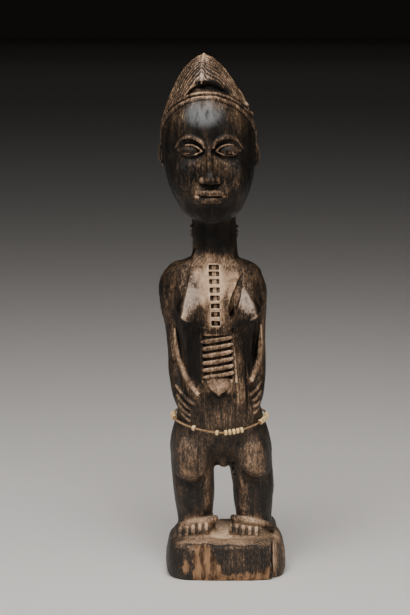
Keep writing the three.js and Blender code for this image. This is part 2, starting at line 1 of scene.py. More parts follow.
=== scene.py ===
"""A standing Baule figure of a woman, carved with its base from one billet of dark wood, with a
string of glass beads tied loosely round its hips. Front towards -Y, metres, origin under the base.
The carving is worked in millimetres and becomes metres when its mesh is made."""

import math

import bmesh
import bpy
import numpy as np
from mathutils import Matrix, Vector


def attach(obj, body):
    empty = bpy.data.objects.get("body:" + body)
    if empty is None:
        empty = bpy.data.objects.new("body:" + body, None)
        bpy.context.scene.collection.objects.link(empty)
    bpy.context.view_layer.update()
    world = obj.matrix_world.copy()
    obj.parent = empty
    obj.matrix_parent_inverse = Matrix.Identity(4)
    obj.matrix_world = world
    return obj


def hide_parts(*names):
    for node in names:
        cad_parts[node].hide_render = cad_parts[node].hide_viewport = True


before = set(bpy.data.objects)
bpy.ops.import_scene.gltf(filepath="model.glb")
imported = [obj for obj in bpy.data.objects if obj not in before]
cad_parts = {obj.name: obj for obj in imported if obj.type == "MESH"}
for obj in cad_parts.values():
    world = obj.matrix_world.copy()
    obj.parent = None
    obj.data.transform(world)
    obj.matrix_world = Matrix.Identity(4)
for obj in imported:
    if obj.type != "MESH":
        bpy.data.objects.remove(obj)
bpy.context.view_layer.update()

# The camera stands in front of the figure, a little above its head's height, with a long lens, and
# looks down on it by eight degrees.
CAMERA_DOWN = math.radians(8)
CAMERA_AWAY = 1.5072
CAMERA_AIM = Vector((-0.0165, 0.0, 0.2062))


def add_piece(name, data):
    piece = bpy.data.objects.new(name, data)
    bpy.context.scene.collection.objects.link(piece)
    return piece


lens = bpy.data.cameras.new("camera")
lens.sensor_width = 36
lens.lens = 114.8
camera = add_piece("camera", lens)
back = Vector((0.0, -math.cos(CAMERA_DOWN), math.sin(CAMERA_DOWN)))
camera.location = CAMERA_AIM + CAMERA_AWAY * back
camera.rotation_euler = (math.pi / 2 - CAMERA_DOWN, 0.0, 0.0)
bpy.context.scene.camera = camera

# The figure stands on plain pale paper. Soft lamps hang close to it, so the paper is pale near the
# base and falls off to darkness far behind.
PAPER = (0.80, 0.768, 0.747, 1.0)
PAPER_HALF = 150.0


def add_mesh(name, vertices, edges, faces):
    mesh = bpy.data.meshes.new(name)
    mesh.from_pydata(vertices, edges, faces)
    return add_piece(name, mesh)


def add_lamp(name, place, aim, size, power, colour):
    lamp = bpy.data.lights.new(name, "AREA")
    lamp.shape = "RECTANGLE"
    lamp.size, lamp.size_y = size
    lamp.energy = power
    lamp.color = colour
    holder = add_piece(name, lamp)
    holder.location = place
    holder.rotation_euler = (Vector(aim) - Vector(place)).to_track_quat("-Z", "Y").to_euler()


def new_material(name):
    material = bpy.data.materials.new(name)
    material.use_nodes = True
    tree = material.node_tree
    return material, tree, tree.nodes["Principled BSDF"]


paper, _, paper_shader = new_material("pale_paper")
paper_shader.inputs["Base Color"].default_value = PAPER
paper_shader.inputs["Roughness"].default_value = 0.9
paper_shader.inputs["Specular IOR Level"].default_value = 0.2
corners = [(PAPER_HALF * x, PAPER_HALF * y, 0) for x, y in ((-1, -1), (1, -1), (1, 1), (-1, 1))]
floor = add_mesh("floor", corners, [], [(0, 1, 2, 3)])
floor.data.materials.append(paper)

for name, place, size, power, colour in (
        ("above", (-0.1, -0.65, 1.3), (0.9, 0.7), 22.0, (1.0, 0.98, 0.95)),
        ("left", (-1.5, -0.9, 0.95), (0.7, 0.7), 3.5, (0.93, 0.96, 1.0)),
        ("right", (1.4, -1.0, 0.95), (0.7, 0.7), 4.0, (1.0, 0.97, 0.93))):
    add_lamp("lamp_" + name, place, (0.0, 0.0, 0.2), size, power, colour)
for name, y, z, size, power in (("near", 1.1, 2.2, 1.5, 0.4), ("middle", 3.0, 4.5, 3.0, 6.0),
                                ("far", 7.0, 8.0, 5.0, 3.6), ("farther", 16.0, 14.0, 9.0, 23.0),
                                ("farthest", 40.0, 30.0, 20.0, 48.0)):
    add_lamp("lamp_" + name, (0.0, y, z), (0.0, y + 0.001, 0.0), (size, size), power, (1.0, 0.985, 0.96))
world = bpy.data.worlds.new("dark_room")
world.use_nodes = True
world.node_tree.nodes["Background"].inputs[0].default_value = (0.0056, 0.0052, 0.0044, 1)
bpy.context.scene.world = world

# The waist string is two yarns of brown fibre laid together by hand. It hangs loosely round the
# hips, lower in front, and both ends go into a knot at the back.
STRING_ROUTE = [(-3, 23.5, 128.8), (1.5, 23.1, 128.6), (7.4, 21.9, 128.2), (13.8, 19.9, 127.5),
                (20.3, 16.4, 126.6), (26.2, 10.9, 125.4), (30.2, 3.3, 124), (30.8, -5.3, 122.4),
                (28, -13.1, 120.6), (22.4, -19.2, 118.3), (15.5, -23.3, 116.4), (8.5, -25.6, 114.9),
                (1.8, -26.7, 114), (-4.7, -27.2, 113.6), (-11.3, -26.8, 114.1), (-18.1, -25.6, 115.2),
                (-25.2, -23.3, 116.7), (-32.3, -19.3, 118.4), (-38.1, -13.1, 120.6), (-41, -5.2, 122.4),
                (-40.4, 3.3, 124), (-36.6, 10.9, 125.4), (-30.7, 16.4, 126.6), (-24.3, 19.9, 127.5),
                (-18, 21.9, 128.2), (-12.2, 23.1, 128.6), (-7.7, 23.5, 128.8)]  # millimetres
YARNS = 2
YARN_RADIUS = 0.0005
TURN_LENGTH = 0.0034


def smooth_path(points, spans=4):
    p = np.array(points, float)
    p = np.vstack([2 * p[0] - p[1], p, 2 * p[-1] - p[-2]])
    t = np.linspace(0, 1, spans, endpoint=False)[:, None]
    pieces = [0.5 * (2 * b + (c - a) * t + (2 * a - 5 * b + 4 * c - d) * t ** 2
                     + (3 * b - a - 3 * c + d) * t ** 3) for a, b, c, d in zip(p, p[1:], p[2:], p[3:])]
    return np.vstack(pieces + [p[-2:-1]])


def add_lines(name, lines):
    vertices, edges = [], []
    for line in lines:
        first = len(vertices)
        vertices += [tuple(point) for point in line]
        edges += [(k, k + 1) for k in range(first, len(vertices) - 1)]
    return add_mesh(name, vertices, edges, [])


class Nodes:
    """Adds nodes to a tree by short calls."""

    def __init__(self, tree):
        self.tree = tree

    def node(self, kind, **settings):
        made = self.tree.nodes.new(kind)
        for key, value in settings.items():
            setattr(made, key, value)
        return made

    def link(self, value, socket):
        if hasattr(value, "is_output"):
            self.tree.links.new(value, socket)
        else:
            socket.default_value = value

    def apply(self, kind, **inputs):
        """A node whose inputs are set by their names, with _ for a space."""
        settings = {key: inputs.pop(key) for key in list(inputs) if key[0].islower()}
        made = self.node(kind, **settings)
        for name, value in inputs.items():
            self.link(value, made.inputs[name.replace("_", " ")])
        return made

    def first(self, kind, **inputs):
        return self.apply(kind, **inputs).outputs[0]

    def math(self, operation, a, b=0.0, clamp=False):
        made = self.node("ShaderNodeMath", operation=operation, use_clamp=clamp)
        self.link(a, made.inputs[0])
        self.link(b, made.inputs[1])
        return made.outputs[0]

    def plus(self, first, *others):
        for other in others:
            first = self.math("ADD", first, other)
        return first

    def times(self, a, b):
        return self.math("MULTIPLY", a, b)

    def vector(self, operation, a, b=(0.0, 0.0, 0.0), by=1.0):
        made = self.node("ShaderNodeVectorMath", operation=operation)
        self.link(a, made.inputs[0])
        self.link(b, made.inputs[1])
        if operation == "SCALE":
            self.link(by, made.inputs["Scale"])
        return made.outputs[0]

    def shake(self, noise, by):
        """A push either way from the colour of a noise."""
        return self.vector("SCALE", self.vector("SUBTRACT", noise.outputs["Color"], (0.5, 0.5, 0.5)), by=by)

    def tube(self, path, ring, capped):
        return self.first("GeometryNodeCurveToMesh", Curve=path, Profile_Curve=ring, Fill_Caps=capped)


def geometry_tree(name, **inputs):
    """A new geometry tree with the given kinds of inputs, its helper and its input node."""
    tree = bpy.data.node_groups.new(name, "GeometryNodeTree")
    for label, kind in {"Geometry": "Geometry", **inputs}.items():
        tree.interface.new_socket(label.replace("_", " "), in_out="INPUT", socket_type="NodeSocket" + kind)
    tree.interface.new_socket("Geometry", in_out="OUTPUT", socket_type="NodeSocketGeometry")
    nodes = Nodes(tree)
    return tree, nodes, nodes.node("NodeGroupInput").outputs


def end_tree(nodes, mesh, material):
    smooth = nodes.first("GeometryNodeSetShadeSmooth", Geometry=mesh)
    real = nodes.first("GeometryNodeRealizeInstances", Geometry=smooth)
    painted = nodes.first("GeometryNodeSetMaterial", Geometry=real, Material=material)
    nodes.link(painted, nodes.node("NodeGroupOutput").inputs[0])


def fix(name, start):
    """The plain mesh that the modifiers make of an object, as a new object in its place."""
    made = bpy.data.meshes.new_from_object(start.evaluated_get(bpy.context.evaluated_depsgraph_get()))
    made.name = name
    bpy.data.objects.remove(start)
    return add_piece(name, made)


def grow(name, lines, tree, **values):
    """What a tree with the given values makes of some lines."""
    start = add_lines(name + "_start", lines)
    modifier = start.modifiers.new("grow", "NODES")
    modifier.node_group = tree
    for item in tree.interface.items_tree:
        key = item.name.replace(" ", "_")
        if item.in_out == "INPUT" and key in values:
            modifier[item.identifier] = values[key]
    return fix(name, start)


def string_tree():
    """Yarns that wind round a line of edges."""
    tree, nodes, given = geometry_tree("laid_string", Yarns="Int", Yarn_radius="Float", Turn_length="Float",
                                       Fuzz="Float", Material="Material")
    line = nodes.first("GeometryNodeMeshToCurve", Mesh=given["Geometry"])
    copies = nodes.apply("GeometryNodeDuplicateElements", domain="SPLINE", Geometry=line, Amount=given["Yarns"])
    along = nodes.node("GeometryNodeSplineParameter").outputs["Length"]
    turns = nodes.plus(nodes.math("DIVIDE", along, given["Turn length"]),
                       nodes.math("DIVIDE", copies.outputs["Duplicate Index"], given["Yarns"]))
    angle = nodes.times(turns, 2 * math.pi)
    normal = nodes.first("GeometryNodeInputNormal")
    across = nodes.vector("CROSS_PRODUCT", nodes.first("GeometryNodeInputTangent"), normal)
    out = nodes.vector("ADD", nodes.vector("SCALE", normal, by=nodes.math("COSINE", angle)),
                       nodes.vector("SCALE", across, by=nodes.math("SINE", angle)))
    lone = nodes.math("LESS_THAN", given["Yarns"], 1.5)
    reach = nodes.times(given["Yarn radius"], nodes.plus(0.85, nodes.times(lone, -0.85)))
    noise = nodes.apply("ShaderNodeTexNoise", Scale=900.0, Detail=2.0)
    push = nodes.vector("ADD", nodes.vector("SCALE", out, by=reach), nodes.shake(noise, given["Fuzz"]))
    moved = nodes.first("GeometryNodeSetPosition", Geometry=copies.outputs["Geometry"], Offset=push)
    ring = nodes.first("GeometryNodeCurvePrimitiveCircle", Resolution=6, Radius=given["Yarn radius"])
    end_tree(nodes, nodes.tube(moved, ring, True), given["Material"])
    return tree


class Finish(Nodes):
    """Adds the nodes of a procedural material on Object coordinates."""

    def __init__(self, name):
        self.material, tree, self.shader = new_material(name)
        super().__init__(tree)
        self.where = self.node("ShaderNodeTexCoord").outputs["Object"]

    def attribute(self, name):
        return self.node("ShaderNodeAttribute", attribute_name=name).outputs["Fac"]

    def noise(self, scale, detail=4.0, rough=0.55, stretch=(1, 1, 1), twist=0.0):
        stretched = self.first("ShaderNodeMapping", Vector=self.where, Scale=stretch)
        return self.first("ShaderNodeTexNoise", Vector=stretched, Scale=scale, Detail=detail, Roughness=rough,
                          Distortion=twist)

    def ramp(self, value, low, high):
        return self.first("ShaderNodeMapRange", interpolation_type="SMOOTHSTEP", Value=value, From_Min=low,
                          From_Max=high)

    def mix(self, share, a, b):
        a, b = (value if hasattr(value, "is_output") else (*value, 1) for value in (a, b))
        return self.apply("ShaderNodeMix", data_type="RGBA", Factor=share, A=a, B=b).outputs["Result"]

    def bump(self, height, distance, strength=1.0, under=None):
        made = self.apply("ShaderNodeBump", Distance=distance, Strength=strength, Height=height)
        if under is not None:
            self.link(under, made.inputs["Normal"])
        return made.outputs["Normal"]

    def surface(self, **inputs):
        for name, value in inputs.items():
            self.link(value, self.shader.inputs[name.replace("_", " ")])
        return self.material


def fibre_finish():
    fibre = Finish("string_fibre")
    dirt, strand = fibre.noise(260, 4, 0.6), fibre.noise(3800, 3, 0.65)
    colour = fibre.mix(fibre.ramp(strand, 0.3, 0.7), (0.23, 0.12, 0.055), (0.56, 0.36, 0.19))
    colour = fibre.mix(fibre.ramp(dirt, 0.5, 0.66), colour, (0.13, 0.07, 0.04))
    return fibre.surface(Base_Color=colour, Roughness=fibre.plus(fibre.times(strand, 0.2), 0.7),
                         Normal=fibre.bump(strand, 0.00025, 0.8))


laid_string = string_tree()
string_fibre = fibre_finish()
string_line = smooth_path(STRING_ROUTE, 24) / 1000
string_line = string_line[::1]
waist_string = grow("laid_waist_string", [string_line], laid_string, Yarns=YARNS, Yarn_radius=YARN_RADIUS,
                    Turn_length=TURN_LENGTH, Fuzz=0.0002, Material=string_fibre)

# The knot is a small hard overhand knot of the same string, with both ends cut short and frayed. It
# closes the string at the back of the hips.
KNOT = np.array([-5.35, 23.9, 128.8])
KNOT_SIZE = 0.52
FRAY_RADIUS = 0.00008


def knot_lines():
    turn = np.linspace(0.12, 2 * math.pi - 0.12, 90)
    wide = 2 + np.cos(3 * turn)
    loop = np.stack([wide * np.cos(2 * turn), np.sin(3 * turn), wide * np.sin(2 * turn)], 1) * KNOT_SIZE + KNOT
    ends = []
    for end, lean in ((loop[0], 0.5), (loop[-1], -0.35)):
        ends.append(np.array([end + (lean * u, 0.5 * math.sin(u), -1.15 * u) for u in np.linspace(0.25, 3.1, 12)]))
    cord = np.vstack([ends[0][::-1], loop, ends[1]])
    loose = np.random.default_rng(7)
    fibres = []
    for end in ends:
        for _ in range(7):
            bend = loose.normal(0, 0.45, 3)
            fibres.append(np.array([end[-1] + bend * u * u + (0, 0, -1.1 * u) for u in np.linspace(-0.6, 1.2, 6)]))
    return cord / 1000, [fibre / 1000 for fibre in fibres]


knot_cord, knot_fibres = knot_lines()
string_knot = grow("tied_knot", [knot_cord], laid_string, Yarns=YARNS, Yarn_radius=YARN_RADIUS,
                   Turn_length=TURN_LENGTH, Fuzz=0.0001, Material=string_fibre)
frayed = grow("frayed", knot_fibres, laid_string, Yarns=1, Yarn_radius=FRAY_RADIUS, Turn_length=TURN_LENGTH,
              Fuzz=0.0002, Material=string_fibre)
whole_knot = bmesh.new()
for part in (string_knot, frayed):
    whole_knot.from_mesh(part.data)
whole_knot.to_mesh(string_knot.data)
whole_knot.free()
bpy.data.objects.remove(frayed)

# The beads are small rings of cream glass, wound by hand, so that no two are quite alike. They sit
# on the string in groups, and are the only other things on it.
BEAD_OUT, BEAD_HOLE, BEAD_HALF, BEAD_PITCH = 2.15, 0.9, 1.25, 3.1
BEAD_GROUPS = [(-78, 3), (-53, 4), (-20.6, 1), (-2.2, 1), (4.5, 5), (35.4, 6), (66, 3)]
BELLY_SHARE = 0.502  # share of the string's length from its start to the middle of the belly


def bead_tree():
    """One wound ring, uneven by its seed, set at a place and turned."""
    tree, nodes, given = geometry_tree(
        "wound_bead", Outer_radius="Float", Hole_radius="Float", Half_length="Float", Unevenness="Float",
        Seed="Float", Place="Vector", Turn="Vector", Material="Material")
    middle = nodes.times(nodes.plus(given["Outer radius"], given["Hole radius"]), 0.5)
    wall = nodes.times(nodes.math("SUBTRACT", given["Outer radius"], given["Hole radius"]), 0.5)
    path = nodes.first("GeometryNodeCurvePrimitiveCircle", Resolution=14, Radius=middle)
    ring = nodes.first("GeometryNodeCurvePrimitiveCircle", Resolution=8, Radius=1.0)
    size = nodes.first("ShaderNodeCombineXYZ", X=wall, Y=given["Half length"], Z=1.0)
    section = nodes.first("GeometryNodeTransform", Geometry=ring, Scale=size)
    place = nodes.first("GeometryNodeInputPosition")
    seed = nodes.first("ShaderNodeCombineXYZ", X=given["Seed"], Y=0.0, Z=0.0)
    noise = nodes.apply("ShaderNodeTexNoise", Vector=nodes.vector("ADD", place, seed), Scale=320.0, Detail=1.0)
    along = nodes.apply("ShaderNodeSeparateXYZ", Vector=place).outputs["Z"]
    rim = nodes.math("DIVIDE", nodes.math("ABSOLUTE", along), given["Half length"])
    marked = nodes.first("GeometryNodeStoreNamedAttribute", data_type="FLOAT", domain="POINT",
                         Geometry=nodes.tube(path, section, False), Name="rim", Value=rim)
    uneven = nodes.first("GeometryNodeSetPosition", Geometry=marked,
                         Offset=nodes.shake(noise, given["Unevenness"]))
    placed = nodes.first("GeometryNodeTransform", Geometry=uneven, Translation=given["Place"],
                         Rotation=given["Turn"])
    end_tree(nodes, placed, given["Material"])
    return tree


def glass_finish():
    glass = Finish("cream_glass")
    cloud, pit = glass.noise(420, 4, 0.6), glass.noise(2600, 3, 0.6)
    colour = glass.mix(glass.ramp(cloud, 0.3, 0.7), (1.0, 0.62, 0.25), (1.0, 0.82, 0.45))
    colour = glass.mix(glass.ramp(pit, 0.64, 0.76), colour, (0.36, 0.21, 0.10))
    # The ends of each bead, where it meets the next, are darker: dirt and painted shade.
    colour = glass.mix(glass.ramp(glass.attribute("rim"), 0.68, 1.0), colour, (0.36, 0.19, 0.08))
    return glass.surface(Base_Color=colour, Roughness=glass.plus(glass.times(pit, 0.35), 0.15),
                         Normal=glass.bump(pit, 0.00015, 0.5), Subsurface_Weight=0.06,
                         Subsurface_Radius=(0.002, 0.0014, 0.0008))


wound_bead = bead_tree()
cream_glass = glass_finish()
route = smooth_path(STRING_ROUTE, 24) / 1000
reached = np.concatenate([[0], np.cumsum(np.linalg.norm(np.diff(route, axis=0), axis=1))])
uneven = np.random.default_rng(23)
beads = []
for start, many in BEAD_GROUPS:
    for k in range(many):
        at = BELLY_SHARE * reached[-1] - (start + k * BEAD_PITCH) / 1000
        place, before, after = ([float(np.interp(at + d, reached, axis)) for axis in route.T]
                                for d in (0, -0.001, 0.001))
        turn = Vector(np.subtract(after, before)).to_track_quat("Z", "Y").to_euler()
        size = 1 + uneven.normal(0, 0.035)
        bead = grow(f"bead_{len(beads) + 1:02d}_glass", [], wound_bead, Outer_radius=BEAD_OUT * size / 1000,
                    Hole_radius=BEAD_HOLE / 1000, Half_length=BEAD_HALF * (1 + uneven.normal(0, 0.04)) / 1000,
                    Unevenness=0.0005, Seed=0.05 * len(beads), Place=place, Turn=list(turn), Material=cream_glass)
        beads.append(bead)
        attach(bead, "root")
        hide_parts(f"bead_{len(beads):02d}")

for piece, node in ((waist_string, "waist_string"), (string_knot, "string_knot")):
    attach(piece, "root")
    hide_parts(node)
tuple(float(v) for v in string_line[0])
[[float(v) for v in p] for p in string_line]

# The carving is cut from one billet: masses first, joined softly, then hollows and scars. A Stock
# is a set of places in the billet, with how far each lies outside the carving (+) or inside it (-),
# in millimetres. What is above the base is carved upright and leans to the figure's right later.
LEAN = 0.0415
FAR = 99.0


def flow(a, b, soft):
    """The nearer of two surfaces, with a fillet of about `soft` where they meet."""
    near = np.maximum(soft - np.abs(a - b), 0)
    return np.minimum(a, b) - near * near / (4 * soft)


def step(value, low, high):
    """0 below low, 1 above high and smooth between."""
    share = np.clip((value - low) / (high - low), 0, 1)
    return share * share * (3 - 2 * share)


class Stock:
    def __init__(self, x, y, z, reach):
        self.x, self.y, self.z, self.reach = x, y, z, reach
        self.out = np.full(len(x), FAR, np.float32)

    def near(self, box, soft):
        keep = None
        for along, (low, high) in zip((self.z, self.x, self.y), (box[2], box[0], box[1])):
            margin = self.reach + soft
            if keep is None:
                keep = np.flatnonzero((along > low - margin) & (along < high + margin))
            else:
                there = along[keep]
                keep = keep[(there > low - margin) & (there < high + margin)]
            if not len(keep):
                break
        return keep

    def at(self, keep):
        return self.x[keep], self.y[keep], self.z[keep]

    def add(self, form, soft=1.0, sign=1):
        shape, box = form
        keep = self.near(box, soft)
        if len(keep):
            self.out[keep] = sign * flow(sign * self.out[keep], shape(*self.at(keep)), soft)

    def cut(self, form, soft=0.6):
        self.add(form, soft, -1)


def smooth_levels(levels):
    """Half width, front and back at every quarter millimetre, smoothly through the given levels."""
    heights, *sizes = np.array(levels, float).T
    fine = np.arange(heights[0], heights[-1] + 0.25, 0.25)
    k = np.clip(np.searchsorted(heights, fine, side="right") - 1, 0, len(heights) - 2)
    gap = np.diff(heights)[k]
    t = (fine - heights[k]) / gap
    rows = []
    for size in sizes:
        slope = np.gradient(size, heights)
        rows.append((1 + 2 * t) * (1 - t) ** 2 * size[k] + t * (1 - t) ** 2 * gap * slope[k]
                    + t * t * (3 - 2 * t) * size[k + 1] - t * t * (1 - t) * gap * slope[k + 1])
    return fine, rows


def mass(levels, power=2.0, x=0.0, rounding=1.0):
    """A body through levels (z, half width, front, back), oval at power 2 and squarer above it."""
    heights, (halves, fronts, backs) = smooth_levels(levels)
    tables = [halves, (backs + fronts) / 2, (backs - fronts) / 2]
    tables += [np.gradient(table, heights) for table in tables]

    def shape(px, py, pz):
        half, middle, depth, half_grows, middle_grows, depth_grows = (
            np.interp(pz, heights, table).astype(np.float32) for table in tables)
        u = np.abs(px - x) / half
        v = (py - middle) / depth
        side = np.sign(v)
        v = np.abs(v)
        q = np.maximum(u ** power + v ** power, 1e-6) ** (1 / power)
        steep_u, steep_v = (u / q) ** (power - 1) / half, (v / q) ** (power - 1) / depth
        steep_z = steep_u * u * half_grows + steep_v * (v * depth_grows + side * middle_grows)
        steep = np.sqrt(steep_u ** 2 + steep_v ** 2 + steep_z ** 2)
        away = (q - 1) / np.maximum(steep, 0.6 / np.maximum(half, depth))
        ends = np.maximum(pz - levels[-1][0], levels[0][0] - pz)
        return -flow(-away, -ends, rounding)

    wide = max(halves)
    return shape, ((x - wide, x + wide), (min(fronts), max(backs)), (levels[0][0], levels[-1][0]))


def limb(points, spans=4):
    """A round limb, ridge or groove along a smooth line of places (x, y, z, radius)."""
    path = smooth_path(points, spans)

    def shape(px, py, pz):
        nearest = np.full(px.shape, FAR, np.float32)
        for a, b in zip(path, path[1:]):
            dx, dy, dz, grow = b - a
            t = ((px - a[0]) * dx + (py - a[1]) * dy + (pz - a[2]) * dz) / (dx * dx + dy * dy + dz * dz)
            t = np.clip(t, 0, 1)
            away = np.sqrt((px - a[0] - t * dx) ** 2 + (py - a[1] - t * dy) ** 2
                           + (pz - a[2] - t * dz) ** 2) - a[3] - t * grow
            nearest = np.minimum(nearest, away)
        return nearest

    low = (path[:, :3] - path[:, 3:]).min(axis=0)
    high = (path[:, :3] + path[:, 3:]).max(axis=0)
    return shape, tuple(zip(low, high))


def egg(place, radii, tilt=0.0):
    """An egg of three radii, tilted in the front view."""
    cx, cy, cz = place
    rx, ry, rz = radii
    c, s = math.cos(tilt), math.sin(tilt)

    def shape(px, py, pz):
        dx, dz = px - cx, pz - cz
        u, v, w = (c * dx + s * dz), py - cy, (c * dz - s * dx)
        near = np.sqrt((u / rx) ** 2 + (v / ry) ** 2 + (w / rz) ** 2) + 1e-6
        steep = np.sqrt((u / rx ** 2) ** 2 + (v / ry ** 2) ** 2 + (w / rz ** 2) ** 2) + 1e-6
        return near * (near - 1) / steep

    wide = max(radii) if tilt else 0
    sizes = [max(r, wide) for r in (rx, 0, rz)]
    return shape, ((cx - sizes[0], cx + sizes[0]), (cy - ry, cy + ry), (cz - sizes[2], cz + sizes[2]))


def block(place, size, tilt=0.0, nod=0.0, rounding=0.5):
    """A block with rounded edges, tilted in the front view or nodding forward."""
    (cx, cy, cz), (w, d, h) = place, size
    c, s, cn, sn = math.cos(tilt), math.sin(tilt), math.cos(nod), math.sin(nod)

    def shape(px, py, pz):
        dx, dy, dz = px - cx, py - cy, pz - cz
        u, w0 = c * dx + s * dz, c * dz - s * dx
        v, w1 = cn * dy + sn * w0, cn * w0 - sn * dy
        sides = [np.abs(u) - w / 2 + rounding, np.abs(v) - d / 2 + rounding, np.abs(w1) - h / 2 + rounding]
        outside = np.sqrt(sum(np.maximum(side, 0) ** 2 for side in sides))
        return outside + np.minimum(np.maximum.reduce(sides), 0) - rounding

    reach = [(w + (abs(s) * h)) / 2, (d + abs(sn) * h) / 2, (h + abs(s) * w + abs(sn) * d) / 2]
    return shape, tuple((m - r, m + r) for m, r in zip(place, reach))


def ripple(x, y, z, size):
    """Uneven ground, about -1 to 1, whose hills are about `size` apart."""
    a, b, c = x / size, y / size, z / size
    return (np.sin(3.1 * a + 2.0 * np.sin(1.7 * b + 0.6 * c)) * np.sin(2.7 * c + 1.9 * np.sin(2.1 * a + b))
            + 0.5 * np.sin(5.9 * b + 4.3 * c + 1.5 * np.sin(4.7 * a))) / 1.5


# The base is a low block with rounded sides and a worn upper edge. Its front corner on the
# figure's left has split away along the grain, and patches of the dark skin are broken off.
BASE = [(-1, 43, -36, 36), (0, 43.5, -36.5, 36.5), (3, 45.4, -38, 38.5), (8, 46.4, -39, 39.6),
        (13, 46.4, -39.2, 40), (18, 45.8, -39.4, 40), (23, 44.6, -39.4, 39.5), (27, 42.4, -38.8, 38.6),
        (29.5, 39.4, -37, 37), (31, 36.5, -32, 34.5)]
SPLIT_X, SPLIT_Y, SPLIT_WIDE, SPLIT_DEEP = 34.0, -28.0, 12.6, 16.0


def bare_patch(x, z):
    """1 where the dark skin of the base's front is broken off, 0 where it is whole."""
    rag = 1.1 * ripple(x, 0 * x, z, 5.0) + 0.7 * ripple(x, 0 * x, 0.4 * z, 2.2) + 0.3 * ripple(x, 0 * x, z, 1.1)
    wedge = np.minimum.reduce([x + 25.4 + rag, -13.2 + 0.52 * (27.5 - z) + rag - x, 29.5 + 1.2 * rag - z])
    strip = np.minimum.reduce([x + 25 + rag, 33.4 + rag - x, 5.6 + 0.004 * (x + 2) ** 2 + 1.7 * rag - z])
    spot = 2.6 - np.hypot(x + 31, 0.5 * (z - 10.5)) + 0.9 * rag
    return step(np.maximum.reduce([wedge, strip, spot]), -0.5, 0.5)


def add_base(stock):
    shape, box = mass(BASE, power=3.9, x=-0.4, rounding=0.8)

    def worn_block(px, py, pz):
        sag = 0.9 * ripple(px, py, 0 * pz, 14.0) + 1.6 * step(np.abs(px + 8), 26, 40) * step(-py, 24, 36)
        return shape(px, py, pz + sag * step(pz, 18, 30))

    stock.add((worn_block, box))
    front = np.flatnonzero((stock.y < -25) & (stock.z < 33) & (stock.out < 8))
    x, y, z = stock.at(front)
    stock.out[front] += 0.7 * bare_patch(x, z) * step(-y, 33, 36)

    def split(px, py, pz):
        wall = SPLIT_X + 0.7 * np.sin(pz / 3.3) + 0.4 * np.sin(pz / 1.4) - 0.05 * (pz - 15)
        along = np.clip((px - SPLIT_X) / SPLIT_WIDE, 0, 1.2)
        bottom = SPLIT_Y + SPLIT_DEEP * along ** 2.2 + 0.25 * np.sin(px * 1.3 + pz / 9) + 0.2 * np.sin(px * 3.1)
        return np.maximum(wall - px, 0.8 * (py - bottom))

    stock.cut((split, ((33, 60), (-50, -8), (-5, 40))), 1.0)
    stock.cut(egg((-26.6, -40, 0.5), (1.7, 4, 3)), 0.8)


# The feet turn a little to the figure's right. The instep ends in a ridge in front of the shin,
# higher on its inner side, and the toes are bars cut into the slope that falls from it.
FOOT = [(24, 16.2, -28.5, 22), (31.5, 15.6, -26.3, 21), (36, 14.8, -19, 19.5), (40.5, 13.4, -11.5, 16)]
FEET = [(-24.0, -25.5, 0.2, -1), (21.0, 13.0, 0.12, 1)]  # heel x, toes x, rise inwards, side
TOES_Y = -21.5
TOE_PITCH = 5.0
INSTEPS = [[(-38, -4, 34.5, 1.5), (-35, -9, 37, 2.2), (-28, -12.6, 38.9, 2.9), (-20, -13.6, 40.6, 3.1),
            (-12, -12.4, 42.2, 3.1), (-8.6, -9, 42.4, 2.4), (-8, -4, 42, 1.6)],
           [(5, -4, 42.6, 1.6), (5.6, -9, 43, 2.4), (9.5, -12.4, 42.8, 3.1), (17, -13.4, 41.6, 3.1),
            (26, -12.8, 39.6, 3.0), (34, -9.6, 37.4, 2.3), (38, -4, 35, 1.5)]]


def add_feet(stock):
    shape, _ = mass(FOOT, power=2.8, rounding=1.6)
    for (heel, toes, rise, side), roll in zip(FEET, INSTEPS):
        turn = (toes - heel) / TOES_Y

        def foot(px, py, pz):
            u = px - heel - turn * py
            return shape(u, py, pz + side * rise * u * step(pz, 33, 38))

        middle = (heel + toes) / 2
        stock.add((foot, ((middle - 22, middle + 22), (-31, 24), (24, 47))), 1.2)
        stock.add(limb(roll, 3), 3.5)
        for k in range(-2, 3):
            x = toes + k * TOE_PITCH
            z = 36.0 - side * k * rise * TOE_PITCH - 0.12 * k * k
            stock.add(block((x, TOES_Y + 0.25 * k * k, z), (2.9, 9.0, 4.4), nod=0.62, rounding=1.3), 0.6)
            if k < 2:
                gap = (x + TOE_PITCH / 2, TOES_Y - 0.8, z + 0.6)
                stock.cut(block(gap, (2.1, 8.0, 3.6), nod=0.62, rounding=0.8), 0.5)


# The legs are short and thick: the calf swells to the back, and the thigh stands out over the shin
# like a rounded shield.
LEG = [(31, 13, -10.5, 15.5), (42, 13.7, -11.5, 17), (53, 15, -13, 20.5), (63, 15.9, -13.3, 20.5),
       (71, 16.2, -13.4, 18), (72.6, 16.3, -14.6, 18), (75, 16.4, -19.2, 18.4), (79, 16.6, -21.2, 19.6),
       (92, 16.8, -22.6, 24), (102, 16, -22.4, 24.6), (111, 13, -18, 21), (118, 8, -12, 15)]
SHIN_FRONTS = {63: -14.4, 71: -16.8, 72.6: -17.2, 75: -17.8, 79: -19, 92: -22}  # beside the step
LEG_OUT_AT = (31, 45, 58, 66, 75, 90, 104)  # heights where each leg's own outline is given
LEG_OUT = {-1: (0, 0, 0, 0, 0, 0, 0), 1: (0.4, 0.8, 1.2, 1.4, 0.6, -0.4, -1.0)}
LEG_X = 22.5
KNEES = [(-24.6, 0.0), (26.0, 2.5)]  # middle of the thigh's lower edge, and how far it is up


